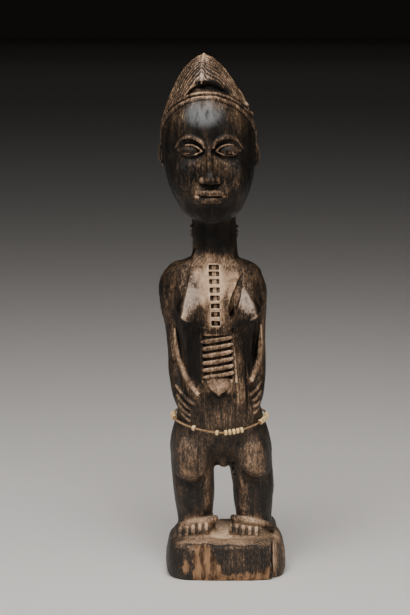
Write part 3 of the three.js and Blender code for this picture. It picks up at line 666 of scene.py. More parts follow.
def add_legs(stock):
    smooth_leg = [(z, half, SHIN_FRONTS.get(z, front), back) for z, half, front, back in LEG]
    for side, (knee, up) in zip((-1, 1), KNEES):
        stepped, box = mass(LEG, x=LEG_X * side, power=2.25)
        smooth, _ = mass(smooth_leg, x=LEG_X * side, power=2.25)

        def leg(px, py, pz):
            px = px - np.interp(pz, LEG_OUT_AT, LEG_OUT[side]).astype(np.float32)
            off = np.abs(px - knee)
            lift = (up + 4 * (off / 10) ** 2) * step(pz, 44, 70) * (1 - step(pz, 84, 106))
            beside = step(off, 8, 13)
            return 0.8 * ((1 - beside) * stepped(px, py, pz - np.minimum(lift, 9)) + beside * smooth(px, py, pz))

        stock.add((leg, box), 2.5)
    for place in ((8.6, -14, 87), (8.3, -13, 82.5), (8.8, -12, 77.5)):
        stock.cut(egg(place, (1.5, 3, 1.6)), 0.6)


# The trunk is a long cylinder with a flat chest and belly, round buttocks and a furrow down the
# back. Its flanks are hollowed, so that the forearms and the scarred panel stand out.
TRUNK = [(83, 29, -4, 22), (87, 36.5, -10, 26), (93, 38.7, -15, 28), (104, 38.2, -22, 28),
         (113, 36.6, -24.4, 26.5), (122, 33.7, -25.2, 23.2), (131, 31.4, -25.6, 20),
         (143, 29.4, -25.6, 18.2), (156, 28, -25, 18), (170, 27.6, -23.8, 18.6),
         (184, 28.6, -22.6, 20), (198, 31.5, -22.4, 22), (212, 34.5, -22, 23.4),
         (223, 36.4, -20, 23.6), (231, 36, -17, 23), (237, 34, -15, 22), (240.5, 29, -13.6, 21),
         (245, 18, -12.2, 20)]
FLANKS = [[(-26, -20, 199, 4), (-24.4, -24, 188, 7.4), (-22.6, -25, 174, 8.2), (-20.4, -26.5, 160, 7),
           (-16, -28.4, 149, 4.4)],
          [(27, -20, 198, 4), (26.6, -24, 187, 7), (25.4, -25, 173, 7), (24.6, -26.5, 160, 5),
           (22.6, -28, 152, 3.2)]]


def add_trunk(stock):
    stock.add(mass(TRUNK, power=2.15), 3.0)
    for side in (-1, 1):  # buttocks
        stock.add(egg((16 * side, 14, 98), (20.5, 19, 17)), 3.0)
    stock.add(egg((1.7, -8, 87.5), (5, 5.5, 4.5)), 2.0)
    for hollow in FLANKS:
        stock.cut(limb(hollow, 3), 1.8)
    stock.cut(limb([(0, 24.5, 236, 1.4), (0, 25.8, 215, 2.4), (0, 21.3, 180, 2.2), (0, 19.6, 150, 1.6),
                    (0, 25, 120, 1)]), 2.0)
    stock.cut(limb([(0, 31, 120, 1), (0, 35.8, 100, 3), (0, 30, 80, 2)]), 2.0)


# The arms hang close to the sides from round shoulders, and the forearms come forward until the
# hands lie on the belly. Thumb and fingers are slender ridges.
ARM = [(22, 5, 237, 4.5), (26.4, 4.6, 231, 9.6), (29.3, 4.2, 221, 11.6), (30.5, 4.4, 207, 10),
       (30.6, 5, 193, 7.8), (30, 6, 176, 7.6), (29.5, 4.5, 159, 7.9), (28.2, -3, 145, 7.3),
       (26, -9.5, 135, 6.2), (24, -13, 126, 4.4)]
ARM_OUT = {-1: (1.2, 1.7, 2.0, 1.7, 1.1, 0.7, 0.9, 1.2, 1.7, 1.4),
           1: (-0.4, -0.8, -1.2, -0.8, -0.3, 0.0, -0.2, 0.0, 0.0, 0.0)}  # each arm's own outline
FINGERS = [([(32.6, 147), (27.5, 140.6), (23, 137), (19, 134.6)], 1.5),
           ([(32, 140), (28.5, 135.6), (25.6, 132.6), (22.6, 130.4)], 1.4),
           ([(31, 133.4), (28.3, 130), (25.8, 127.6), (22.8, 125.8)], 1.3),
           ([(29.6, 127.6), (27.4, 124.8), (25.2, 122.6), (23, 121)], 1.2)]
FOREARM_RIDGES = [[(-31.6, 190, 0.9), (-31.2, 184, 1.7), (-30.4, 176, 2.2), (-28.8, 167, 2.4), (-25.6, 158, 2.5),
                   (-20.8, 149.5, 2.4), (-16.0, 143, 1.6)],
                  [(34.2, 193, 0.9), (33.8, 186, 1.6), (32.9, 177, 2.3), (31.5, 168, 2.7), (28.9, 160, 2.9),
                   (25.2, 152.5, 2.0)]]  # x, z, radius, down to the tip of the thumb
HAND_SHIFT = {-1: (0, 0), 1: (3, 6)}  # outwards, upwards


def add_arms(stock):
    for side, outs in ARM_OUT.items():
        stock.add(limb([(side * (x + out), *rest) for (x, *rest), out in zip(ARM, outs)], 3), 2.5)


def front_of(carve, places):
    """The y of the front surface at places (x, z), after the given carving."""
    ys = np.arange(-45, 10, 0.25, dtype=np.float32)
    x, z = (np.repeat(np.array(v, np.float32), len(ys)) for v in zip(*places))
    stock = Stock(x, np.tile(ys, len(places)), z, 3.0)
    carve(stock)
    inside = stock.out.reshape(len(places), -1) < 0
    return ys[inside.argmax(axis=1)]


def on_front(carve, places):
    """Places (x, z, how proud of the front surface, radius) as (x, y, z, radius)."""
    ys = front_of(carve, [(x, z) for x, z, _, _ in places])
    return [(x, y - proud, z, r) for (x, z, proud, r), y in zip(places, ys)]


def add_plain_body(stock):
    stock.add(mass(TRUNK, power=2.15))
    add_arms(stock)


def add_body(stock):
    add_trunk(stock)
    add_arms(stock)


def finger_forms():
    forms = []
    for side, (outward, upward) in HAND_SHIFT.items():
        for line, radius in FINGERS:
            shares = np.linspace(0, 1, len(line))
            places = [(side * (x + outward * s), z + upward * (0.4 + 0.6 * s)) for (x, z), s in zip(line, shares)]
            sizes = [0.7 * radius, radius, radius, 0.8 * radius]
            forms.append(limb(on_front(add_body, [(x, z, 0.15 * r, r) for (x, z), r in zip(places, sizes)])))
    for line in FOREARM_RIDGES:
        ys = front_of(add_plain_body, [(x, z) for x, z, _ in line])
        ys[1:-1] = (ys[:-2] + 2 * ys[1:-1] + ys[2:]) / 4
        walls = [(x, y + 2.4, z, r + 0.9) for (x, z, r), y in zip(line, ys)]
        walls[-1] = (*walls[-1][:3], line[-1][2])
        forms.append(limb(walls))
        forms.append(limb([(x, y - 0.15 * r, z, r) for (x, z, r), y in zip(line, ys)]))
    return forms


fingers = finger_forms()


# The breasts are long pyramids from the collar. Their point hangs out and down over a straight
# lower edge. Each facet is a flat cut through three corners. Towards the breastbone the breast runs
# out into the chest.
BREASTBONE = (0, -19.5, 222)
BREASTS = [{"collar": (-16.3, -14.4, 237), "tip": (-25.6, -31.5, 201.5), "inner": (-10.8, -25.0, 214),
            "low": (-7.6, -23.6, 193), "outer": (-30, -15, 205)},
           {"collar": (19.5, -15, 231), "tip": (31.0, -30, 202.5), "inner": (15.4, -24.6, 213.5),
            "low": (12, -23.6, 193.5), "outer": (34.5, -14, 206)}]


def facet(a, b, c, toward, out):
    """A flat cut through three corners that faces a given way, moved outwards."""
    a, b, c = (np.array(v, float) for v in (a, b, c))
    normal = np.cross(b - a, c - a)
    normal /= np.linalg.norm(normal)
    if normal @ np.array(toward) < 0:
        normal = -normal
    return normal, float(normal @ a) + out


def breast(corners):
    collar, tip, inner, low, outer = (corners[k] for k in ("collar", "tip", "inner", "low", "outer"))
    away_side = math.copysign(1, tip[0])
    cuts = [facet(collar, tip, outer, (away_side, -0.5, 0), 0.5), facet(collar, tip, inner, (0, -1, 0.2), 0.5),
            facet(tip, inner, low, (-away_side, -1, -1), 0.5), facet(tip, low, outer, (0, -0.3, -1), 0.5),
            facet(collar, inner, BREASTBONE, (-0.3 * away_side, -1, 0.2), 0.5)]

    def shape(px, py, pz):
        away = py * 0 - FAR
        for normal, level in cuts:
            away = -flow(-away, -(normal[0] * px + normal[1] * py + normal[2] * pz - level), 1.8)
        return away

    return shape, ((min(outer[0], inner[0]) - 12, max(outer[0], inner[0]) + 12), (-36, -4), (188, 250))


def add_chest(stock):
    add_body(stock)
    for corners in BREASTS:
        stock.add(breast(corners), 1.5)


# Scars: a ladder of sunk steps runs down the breastbone, and a sunk panel of slanting ridges lies
# on the belly above the navel, which is carved as a tongue.
LADDER = [(238.9, 7.4), (234.1, 7.6), (228.4, 7.4), (222.1, 7.2), (216.2, 7.0), (210.3, 6.6), (203.9, 6.4),
          (197.1, 6.4)]  # height, width
PANEL_LOW, PANEL_HIGH, PANEL_HALF = 154.0, 187.5, 10.9
RIDGES = 6
RIDGE_HEIGHTS = [PANEL_LOW + (k + 0.62) * (PANEL_HIGH - PANEL_LOW - 1) / RIDGES for k in range(RIDGES)]
NAVEL = [(141.6, 2.2, -27.4, -15), (143.2, 4.4, -29, -15), (146, 6.8, -29.6, -14.5), (149, 8.8, -29, -14),
         (152.5, 10.3, -27.2, -13), (155.5, 10.8, -25, -12)]
BORDER_HEIGHTS = (152.5, 160, 170, 180, 188.5)
BORDER = list(zip(BORDER_HEIGHTS, front_of(add_body, [(12, z) for z in BORDER_HEIGHTS])))
chest_y = front_of(add_chest, [(0, z) for z, _ in LADDER])
belly_y = front_of(add_body, [(0, z) for z in RIDGE_HEIGHTS])


def cut_scars(stock):
    for (z, wide), y in zip(LADDER, chest_y):
        stock.cut(block((0, y, z), (wide, 3.4, 3.5), rounding=0.4), 0.4)
        for end in (-0.36, 0.36):
            stock.cut(block((end * wide, y, z), (0.28 * wide, 5.0, 3.4), rounding=0.4), 0.5)
    middle = (PANEL_LOW + PANEL_HIGH) / 2
    panel = np.flatnonzero((np.abs(stock.x) < 15) & (stock.y < -12) & (np.abs(stock.z - middle) < 22))
    x, _, z = stock.at(panel)
    z = z - 0.03 * x
    inside = np.minimum(PANEL_HALF - np.abs(x), (PANEL_HIGH - PANEL_LOW) / 2 - np.abs(z - middle))
    stock.out[panel] += 1.8 * step(inside, -0.5, 0.6)
    for z, y in zip(RIDGE_HEIGHTS, belly_y):
        line = [(-11.2, y + 1.5, z - 1.8, 1.3), (-8, y + 0.9, z - 1.4, 1.6), (0, y + 0.6, z - 0.2, 1.65),
                (8, y + 0.9, z + 1.3, 1.6), (11.2, y + 1.5, z + 2.1, 1.3)]
        stock.add(limb(line, 2), 0.5)
    for lean, x in ((0, -12.1), (1.6, 12.0)):
        line = [(x + lean * (belly_z - PANEL_HIGH) / (PANEL_LOW - PANEL_HIGH), y + 0.5, belly_z, 1.2)
                for belly_z, y in BORDER]
        stock.add(limb(line, 2), 0.8)


# Cracks have opened along the grain: one from the left shoulder to a deep hole beside the
# breastbone, and a long one beside the panel.
SHOULDER_CRACK = [(22, 234, -0.4, 0.9), (19.5, 228, -1.2, 1.9), (16.6, 219, -2.4, 3.2), (14.2, 211, -2.9, 3.8),
                  (12.8, 205.5, -1.8, 3.0), (12.2, 199, -0.5, 1.4), (12.6, 190, 0.0, 0.7)]  # x, z, depth, radius
SHOULDER_HOLE = [(13.6, 207, 0.4, 1.0), (12.2, 203.5, 1.4, 1.7), (11.8, 200.5, 0.6, 1.0)]
SIDE_CRACK = [(20.2, 183, 0.1, 0.5), (20.8, 166, 0.4, 0.8), (21.4, 150, 0.5, 1.1), (21.2, 141, 0.4, 1.1),
              (22.0, 130, 0.1, 0.6)]
BACK_CRACK = [(-9, 27, 228, 0.4), (-9.6, 26, 205, 0.8), (-9, 22.6, 182, 0.5)]


def crack_forms():
    forms = []
    for line in (SHOULDER_CRACK, SHOULDER_HOLE, SIDE_CRACK):
        forms.append(limb(on_front(add_body, [(x, z, -deep, r) for x, z, deep, r in line])))
    return forms + [limb(BACK_CRACK)]


cracks = crack_forms()


# The neck is a plain cylinder that carries the head a little to the figure's left, with three
# raised scars on either side.
NECK = [(236, 17.2, -9.5, 21), (242, 17.2, -11, 21), (248, 17.2, -12.2, 21), (262, 17, -12, 20.5),
        (279, 16.8, -12, 20), (299, 16, -10, 18)]
NECK_X = 1.7


def add_neck(stock):
    stock.add(mass(NECK, x=NECK_X), 2.0)
    for side in (-1, 1):
        for z in (261.5, 264.6, 268.6):
            stock.add(egg((NECK_X + 17.2 * side, 2.5, z), (1.5, 2.2, 1.2)), 0.5)


# The head is an egg with a high forehead. The face is a plain one by the thirds and fifths of a
# drawing book: arched brows, heavy lids, a slender nose and a small raised mouth.
CHIN, CROWN = 273.0, 384.0
HEAD = [(273, 7, -16, 3), (275.5, 14, -23.5, 7), (280, 20.5, -28.6, 11), (287, 25.2, -31.4, 16),
        (297, 30, -33, 23), (309, 33.4, -33.2, 29), (322, 35, -33.2, 33.5), (337, 35, -33.6, 36),
        (350, 33.4, -33, 36.3), (362, 29.4, -30, 34.2), (373, 23.4, -23.5, 29), (381, 13, -13, 18)]
FOREHEAD_TOP = 369.0
THIRD = (FOREHEAD_TOP - CHIN) / 3
BROW_Z, NOSE_Z = CHIN + 2 * THIRD, CHIN + THIRD
MOUTH_Z = NOSE_Z - THIRD / 3
EYE_Z = (CHIN + CROWN) / 2
EYE_WIDTH = 14.0


HEAD_FORM = mass(HEAD, rounding=4.0)


def add_head(stock):
    stock.add(HEAD_FORM, 1.5)


def face_forms():
    """The face as a list of (form, True to add or False to cut, softness)."""
    at = [(0, NOSE_Z), (0, EYE_Z), (0, BROW_Z), (0, MOUTH_Z)]
    nose_y, root_y, brow_y, mouth_y = front_of(add_head, at)
    forms = []

    def add(form, soft):
        forms.append((form, True, soft))

    def cut(form, soft):
        forms.append((form, False, soft))

    def line(places):
        return limb(on_front(add_head, places))

    for side in (-1, 1):
        eye_x = side * EYE_WIDTH
        eye_y = front_of(add_head, [(eye_x, EYE_Z)])[0]
        add(egg((side * 15, -20.5, NOSE_Z + 3), (14, 11.5, 17)), 5.0)
        cut(egg((eye_x + 0.8 * side, eye_y - 1.2, EYE_Z + 1), (10.5, 2.2, 7.4)), 4.5)
        add(line([(side * 3.2, BROW_Z - 6, 0.2, 1.2), (eye_x * 0.45, BROW_Z - 1.4, 0.5, 1.5),
                  (eye_x, BROW_Z + 1.6, 0.3, 1.5), (eye_x + side * 6, BROW_Z - 0.4, 0, 1.3),
                  (eye_x + side * 10.5, EYE_Z + 2, -0.3, 0.9)]), 1.5)
        add(egg((eye_x, eye_y + 2.0, EYE_Z - 0.2), (8.2, 4.6, 4.4)), 1.2)
        for bow, radius, out in ((4.4, 0.85, 0.9), (-3.2, 0.7, 0.8)):
            rim = [(eye_x + u, EYE_Z - 0.2 + bow * (1 - (u / 8.8) ** 2), out * (1 - (u / 10) ** 2) - 0.3, radius)
                   for u in (-8.8, -6, -3, 0, 3, 6, 8.8)]
            add(line(rim), 0.5)
        cut(line([(eye_x - 7, EYE_Z - 1.6, 0.6, 0.4), (eye_x - 3.5, EYE_Z - 2.6, 1.8, 0.55),
                  (eye_x, EYE_Z - 3.0, 2.2, 0.6), (eye_x + 3.5, EYE_Z - 2.6, 1.8, 0.55),
                  (eye_x + 7, EYE_Z - 1.6, 0.6, 0.4)]), 0.4)
    bridge = mass([(NOSE_Z - 1.6, 4.6, nose_y - 5.4, -20), (NOSE_Z + 1.5, 5.4, nose_y - 7.4, -20),
                   (NOSE_Z + 8, 3.7, nose_y - 5.4, -20), (EYE_Z, 2.9, root_y - 2.4, -20),
                   (BROW_Z, 3.4, brow_y + 0.2, -20)], power=2.6, rounding=1.4)
    add(bridge, 1.4)
    for side in (-1, 1):
        add(egg((side * 5.2, nose_y - 1.8, NOSE_Z + 1.6), (3.0, 3.6, 2.9)), 1.0)
        cut(egg((side * 3.0, nose_y - 3.8, NOSE_Z - 1.8), (1.3, 1.8, 1.3)), 0.4)
    add(egg((0, mouth_y + 3.6, MOUTH_Z), (15, 6.4, 8.5)), 4.0)
    for z, proud, half in ((MOUTH_Z + 2.5, 2.6, 11.5), (MOUTH_Z - 2.6, 2.4, 11)):
        bend = 0.12 * (MOUTH_Z - z)
        add(line([(-half, z + 5 * bend, -0.9, 0.5), (-half / 2, z, proud, 2.3), (0, z, proud + 0.4, 2.6),
                  (half / 2, z, proud, 2.3), (half, z + 5 * bend, -0.9, 0.5)]), 1.0)
    cut(line([(-11, MOUTH_Z, 2.0, 0.5), (0, MOUTH_Z, 4.8, 0.7), (11, MOUTH_Z, 2.0, 0.5)]), 0.5)
    add(egg((0, -25.6, CHIN + 8), (10, 6.4, 7)), 4.0)
    return forms


face = face_forms()


# The ears are small open rings round a low lobe. They stand off the sides of the head and face
# half forward.
EAR_X, EAR_Z, EAR_HIGH, EAR_DEEP, EAR_TURN = 34.2, 324.0, 8.0, 5.0, 0.6


def add_ears(stock):
    for side in (-1, 1):
        rim = [(side * (EAR_X + EAR_DEEP * math.cos(2.2 * share) * math.sin(EAR_TURN)),
                EAR_DEEP * math.cos(2.2 * share) * math.cos(EAR_TURN),
                EAR_Z + EAR_HIGH * math.sin(2.2 * share), 1.7 - 0.35 * abs(share))
               for share in np.linspace(-1, 1, 9)]
        stock.add(limb(rim, 3), 0.8)
        stock.add(egg((side * 35.4, 1.5, EAR_Z), (1.6, 3.2, 5)), 0.8)


# The coiffure is a thin cap of combed hair down to a slanting hairline, and on it a crest like a
# steep roof, open in front. Strands are grooves that run down from the ridge. A double band
# borders the forehead, and three small knobs sit above it.
HAIRLINE = 340.0
HEIGHT = 400.0
CAP = 1.0
CREST_FOOT, CREST_HALF, CREST_DEEP, CREST_DROP = 335.0, 35.6, 39.5, 62.0
RIDGE_X, RIDGE_LEAN = -0.7, 0.085  # the ridge runs to the figure's right towards the front
KNOBS = [(-30.6, -10, 355), (29.2, -10, 361.5), (32.2, -6, 354.5)]


def roof(px, py):
    """The height of the crest over a place. In front its right side is steeper than its left."""
    ridge = CREST_FOOT + (HEIGHT - CREST_FOOT) * np.sqrt(np.maximum(0, 1 - (py / CREST_DEEP) ** 2))
    off = px - RIDGE_X + RIDGE_LEAN * np.maximum(-py, 0)
    behind = np.sqrt(np.maximum(0.02, 1 - (np.maximum(py - 1.5, 0) / 36.8) ** 2))
    narrow = behind * (1 - np.where(off < 0, 0.32, 0.03) * step(-py, 2, 26))
    share = np.minimum(1, np.abs(off) / (CREST_HALF * narrow))
    sharp = 1.1 * (1 - np.exp(-np.abs(off) / 2.2))
    return ridge - sharp - CREST_DROP * (1 - (1 - share ** 1.786) ** 0.714)


def strand_grooves(px, py):
    """0 on a strand of hair to 1 in the groove between two strands. Behind the top they fan out, and
    pairs of them become one where they would crowd."""
    off = np.abs(px - RIDGE_X)
    line = np.where(py < 0, py - 0.06 * off, 36 * np.arctan2(py, np.maximum(off, 0.5))) / 2.4
    line += 0.25 * np.sin(px / 5.0 + 0.8) + 0.15 * np.sin(px / 2.3)
    from_top = np.where(py < 0, 99, np.hypot(off, py))
    apart = step(from_top, 18, 22)
    single, double = ((0.5 - 0.5 * np.cos(2 * np.pi * share * line)) ** 2 for share in (1, 0.5))
    return (apart * single + (1 - apart) * double) * step(from_top, 5, 10)


def cap_shape(px, py, pz):
    shape, _ = HEAD_FORM
    away = shape(px, py, pz) - CAP
    above = (HAIRLINE + 2.4 - py - pz) / math.sqrt(2)
    return -flow(-away, -above, 0.8)


def crest_shape(px, py, pz):
    top = roof(px, py)
    slope_x = roof(px + 0.5, py) - roof(px - 0.5, py)
    slope_y = roof(px, py + 0.5) - roof(px, py - 0.5)
    away = (pz - top) / np.sqrt(1 + slope_x ** 2 + slope_y ** 2)
    open_by = 13.5 - np.where(px > -3, 0.23 * (px + 3), -0.6 * (px + 3))
    eaves = np.maximum(HAIRLINE - py + open_by, 345) - pz
    return -flow(-np.maximum(away, np.abs(py) - 37), -0.75 * eaves, 0.5)


def hairline(raised, grow=0.0):
    """The line where the head meets the slanting hairline plane, from ear to ear."""
    heights, (halves, fronts, backs) = smooth_levels(HEAD)
    line = []
    for k in range(33):
        angle = -math.pi / 2 + 1.85 * (1 - k / 16)
        x = halves * math.cos(angle)
        y = (fronts + backs) / 2 + (backs - fronts) / 2 * math.sin(angle)
        there = np.argmin(np.abs(heights + y - HAIRLINE - raised * math.sqrt(2)))
        line.append((1.01 * x[there], 1.01 * y[there], heights[there], 1.7 + grow))
    return line


HAIR_BANDS = [hairline(0), hairline(3.6)]
RIDGE = [(8, 0.5, 0.5), (2, 0.5, 0.5), (-4, 0.5, 0.5), (-10, 0.5, 0.55), (-15, 0.9, 1.0), (-19, 1.2, 1.5),
         (-23, 1.3, 1.7), (-26, 1.4, 1.5)]  # y, how far it is sunk, radius


def ridge_line():
    line = []
    for y, sunk, radius in RIDGE:
        x = RIDGE_X - RIDGE_LEAN * max(0, -y)
        line.append((x, y, float(roof(np.float32(x), np.float32(y))) - sunk, radius))
    return line + [(-3.4, -27.4, 377.8, 0.8)]


RIDGE_LINE = ridge_line()
RECESS = [(-12, -24, 364, 1.4), (-8, -26.4, 370.5, 2.2), (-2, -28.5, 375.6, 3.3), (5, -28.0, 375.6, 4.0),
          (13, -26.4, 373, 3.8), (20, -23.4, 369, 2.9), (26, -18.4, 362.6, 1.6)]


def add_coiffure(stock):
    stock.add((cap_shape, ((-38, 38), (-36, 39), (298, 386))), 0.4)
    stock.add((crest_shape, ((-37, 37), (-32, 38), (344, 401))), 0.8)
    hair = np.flatnonzero((stock.z + stock.y > HAIRLINE + 7) & (stock.z > 296) & (np.abs(stock.out) < 9))
    if len(hair):
        x, y, z = stock.at(hair)
        inner = step(z + y - HAIRLINE, 7, 10)
        stock.out[hair] += 0.95 * strand_grooves(x, y) * inner
    stock.cut(limb(RECESS, 3), 1.2)
    for line in HAIR_BANDS:
        stock.add(limb(line, 1), 0.5)
    stock.add(limb(RIDGE_LINE, 1), 1.5)
    for place in KNOBS:
        stock.add(egg(place, (2.5, 2.5, 2.5)), 0.5)


# All of it in the carver's order: hair and head, then trunk, arms, scars and legs, then base and
# feet. Gouge marks leave the big surfaces slightly uneven.


HEAD_ABOVE, HAIR_ABOVE, BODY_BELOW, FEET_BELOW = 240, 296, 250, 50  # heights where groups of forms are


def carve(x, y, z, reach):
    """How far places lie outside the finished carving. x, y and z are the real places."""
    stock = Stock(x + LEAN * z, y, z, reach)
    low, high = z.min() - reach, z.max() + reach
    if high > HEAD_ABOVE:
        if high > HAIR_ABOVE:
            add_coiffure(stock)
            add_ears(stock)
        head = Stock(stock.x, y, z, reach)
        add_head(head)
        for form, adds, soft in face:
            (head.add if adds else head.cut)(form, soft)
        stock.out = flow(stock.out, head.out, 0.4)
        add_neck(stock)
    if low < BODY_BELOW:
        body = Stock(stock.x, y, z, reach)
        add_chest(body)
        for form in fingers:
            body.add(form, 0.7)
        cut_scars(body)
        body.add(mass(NAVEL, power=2.2, rounding=1.2), 0.6)
        for form in cracks:
            body.cut(form, 0.5)
        add_legs(body)
        stock.out = flow(stock.out, body.out, 2.5)
    if low < FEET_BELOW:
        foot = Stock(x, y, z, reach)
        add_base(foot)
        add_feet(foot)
        stock.out = flow(stock.out, foot.out, 1.5)
    rough = (z > 33) | (np.abs(x) > 10)
    stock.out += 0.22 * ripple(x, y, z, 16.0) + 0.07 * ripple(x, y, z, 4.5) * rough
    return np.maximum(stock.out, 0.2 - z)


# The billet is searched coarse to fine for the surface, and the surface becomes a skin of small
# squares, which is then thinned where it is flat.
FINE = 0.5
MOST_TRIANGLES = 190000
BATCH = 60000
COARSE, MIDDLE = 8.0, 2.0  # cell sizes of the first two searches
LOW = np.array([-56.0, -48.0, -8.0], np.float32)
SIZE = np.array([112, 96, 416])


def carve_all(places, reach):
    """carve() in batches from bottom to top, so that each batch meets few forms."""
    result = np.empty(len(places), np.float32)
    order = np.argsort(places[:, 2], kind="stable")
    for start in range(0, len(order), BATCH):
        part = order[start:start + BATCH]
        result[part] = carve(*places[part].T, reach)
    return result


def grid(*counts):
    return np.stack(np.meshgrid(*(np.arange(n) for n in counts), indexing="ij"), -1).reshape(-1, 3)


def near_surface(cells, size, spare):
    away = np.abs(carve_all((LOW + (cells + 0.5) * size).astype(np.float32), size))
    return cells[away < size * 1.1 + spare]


def find_surface():
    cells = near_surface(grid(*(SIZE // int(COARSE))), COARSE, 1)
    split = int(COARSE / MIDDLE)
    cells = near_surface((cells[:, None] * split + grid(*[split] * 3)).reshape(-1, 3), MIDDLE, 0.7)
    split = int(MIDDLE / FINE)
    taken = np.zeros(SIZE // int(MIDDLE), bool)
    volume = np.full(np.array(taken.shape) * split + 1, FAR, np.float32)
    wanted = np.zeros(volume.shape, bool)
    offsets = grid(*[split + 1] * 3)
    while len(cells):
        taken[tuple(cells.T)] = True
        fresh = np.zeros(volume.shape, bool)
        for offset in offsets:
            fresh[tuple((cells * split + offset).T)] = True
        there = np.argwhere(fresh & ~wanted)
        volume[tuple(there.T)] = carve_all((LOW + there * FINE).astype(np.float32), FINE)
        wanted |= fresh
        inside = np.stack([volume[tuple((cells * split + offset).T)] < 0 for offset in offsets])
        missing = []
        for axis in range(3):
            for end, move in ((0, -1), (split, 1)):
                face = inside[offsets[:, axis] == end]
                beyond = cells[face.any(axis=0) & ~face.all(axis=0)]
                beyond[:, axis] += move
                missing.append(beyond[~taken[tuple(beyond.T)]])
        cells = np.unique(np.vstack(missing), axis=0)
    return volume, wanted


def skin(volume, wanted):
    """Vertices and outward quads of the surface where the volume turns from - to +."""
    inside = volume < 0
    shape = np.array(volume.shape) - 1
    count = np.zeros(shape, np.uint8)
    known = np.ones(shape, bool)
    corners = [tuple(corner) for corner in grid(2, 2, 2).tolist()]
    for a, b, c in corners:
        part = (slice(a, a + shape[0]), slice(b, b + shape[1]), slice(c, c + shape[2]))
        count += inside[part]
        known &= wanted[part]
    cells = np.argwhere((count > 0) & (count < 8) & known)
    number = np.full(shape, -1, np.int32)
    number[tuple(cells.T)] = np.arange(len(cells))
    values = {c: volume[tuple((cells + c).T)] for c in corners}
    total = np.zeros((len(cells), 3))
    crossings = np.zeros(len(cells))
    for a in corners:
        for axis in range(3):
            if a[axis]:
                continue
            b = a[:axis] + (1,) + a[axis + 1:]
            crosses = (values[a] < 0) != (values[b] < 0)
            share = np.where(crosses, values[a] / np.where(crosses, values[a] - values[b], 1), 0)
            place = np.array(a, float) + share[:, None] * np.eye(3)[axis]
            total += place * crosses[:, None]
            crossings += crosses
    vertices = LOW + (cells + total / crossings[:, None]) * FINE
    quads, one = [], np.eye(3, dtype=int)
    for axis in range(3):
        after, last = (axis + 1) % 3, (axis + 2) % 3
        low = [slice(1, -1)] * 3
        high = [slice(1, -1)] * 3
        low[axis], high[axis] = slice(0, -1), slice(1, None)
        here, there = inside[tuple(low)], inside[tuple(high)]
        both = wanted[tuple(low)] & wanted[tuple(high)]
        for first, second, order in ((here, there, 1), (there, here, -1)):
            edges = np.argwhere(both & first & ~second) + 1 - one[axis]
            quad = np.stack([number[tuple((edges - u * one[after] - v * one[last]).T)]
                             for u, v in ((1, 1), (0, 1), (0, 0), (1, 0))], 1)
            quads.append(quad[:, ::order])
    return vertices, np.vstack(quads)


volume, wanted = find_surface()
vertices, quads = skin(volume, wanted)
mesh = bpy.data.meshes.new("carving_rough")
mesh.vertices.add(len(vertices))
mesh.vertices.foreach_set("co", (vertices * 0.001).astype(np.float32).ravel())
mesh.loops.add(4 * len(quads))
mesh.loops.foreach_set("vertex_index", quads.astype(np.int32).ravel())
mesh.polygons.add(len(quads))
mesh.polygons.foreach_set("loop_start", np.arange(0, 4 * len(quads), 4, dtype=np.int32))
mesh.update(calc_edges=True)
rough = add_piece("carving_rough", mesh)
if 2 * len(quads) > MOST_TRIANGLES:
    thin = rough.modifiers.new("thin", "DECIMATE")
    thin.ratio = MOST_TRIANGLES / (2 * len(quads))
carving = fix("carving", rough)
carving_mesh = carving.data
carving_mesh.polygons.foreach_set("use_smooth", np.ones(len(carving_mesh.polygons), bool))


# What the wood has been through, kept on the mesh for its finish: edges that hands have rubbed,
# hollows dark with crust and painted shade, places where bare wood shows, painted shadow in
# shaded patches, and painted highlights on the forehead and breast facets.
def band(low, high):
    """True for vertices between two heights."""
    return (z > low) * (z < high)


def store(name, values):
    carving_mesh.attributes.new(name, "FLOAT", "POINT").data.foreach_set("value", values.astype(np.float32))


count = len(carving_mesh.vertices)
flat = np.empty(3 * count, np.float32)
carving_mesh.vertices.foreach_get("co", flat)
places = 1000 * flat.reshape(-1, 3)
STEP = 1.1
offsets = STEP * np.vstack([np.eye(3), -np.eye(3)]).astype(np.float32)
around = np.stack([carve_all(places + offset, 3.0) for offset in offsets])
centre = carve_all(places, 3.0)
bulge = (around.mean(axis=0) - centre) / STEP
normals = (around[:3] - around[3:]).T
normals /= np.maximum(np.linalg.norm(normals, axis=1, keepdims=True), 1e-6)
# hidden: how closely wood hems each vertex in, sampled out along its normal like ambient occlusion. It darkens the
# finish as crust and as painted shade.
hidden = np.zeros(count)
for distance in (1.5, 3.0, 6.0, 11.0):
    hidden += np.clip(1 - carve_all(places + distance * normals, distance) / distance, 0, 1) / 4
x, y, z = places.T
upright = x + LEAN * z
beside_crack = np.minimum.reduce([shape(upright, y, z) for shape, _ in cracks])
rubbed = step(bulge, 0.03, 0.16) * (1 - 0.5 * (z < 41)) * (1 - 0.55 * (1 - step(beside_crack, 1.0, 3.0)))
rubbed *= 1 - 0.16 * (z > 338)  # hair
fingers_there = step(z, 114, 118) * (1 - step(z, 138, 146)) * (np.abs(upright) > 17) * (y < -5)
rubbed *= 1 - 0.38 * fingers_there
tips = np.minimum.reduce([np.linalg.norm(np.stack([upright, y, z], 1) - np.array(corners["tip"]), axis=1)
                          for corners in BREASTS])
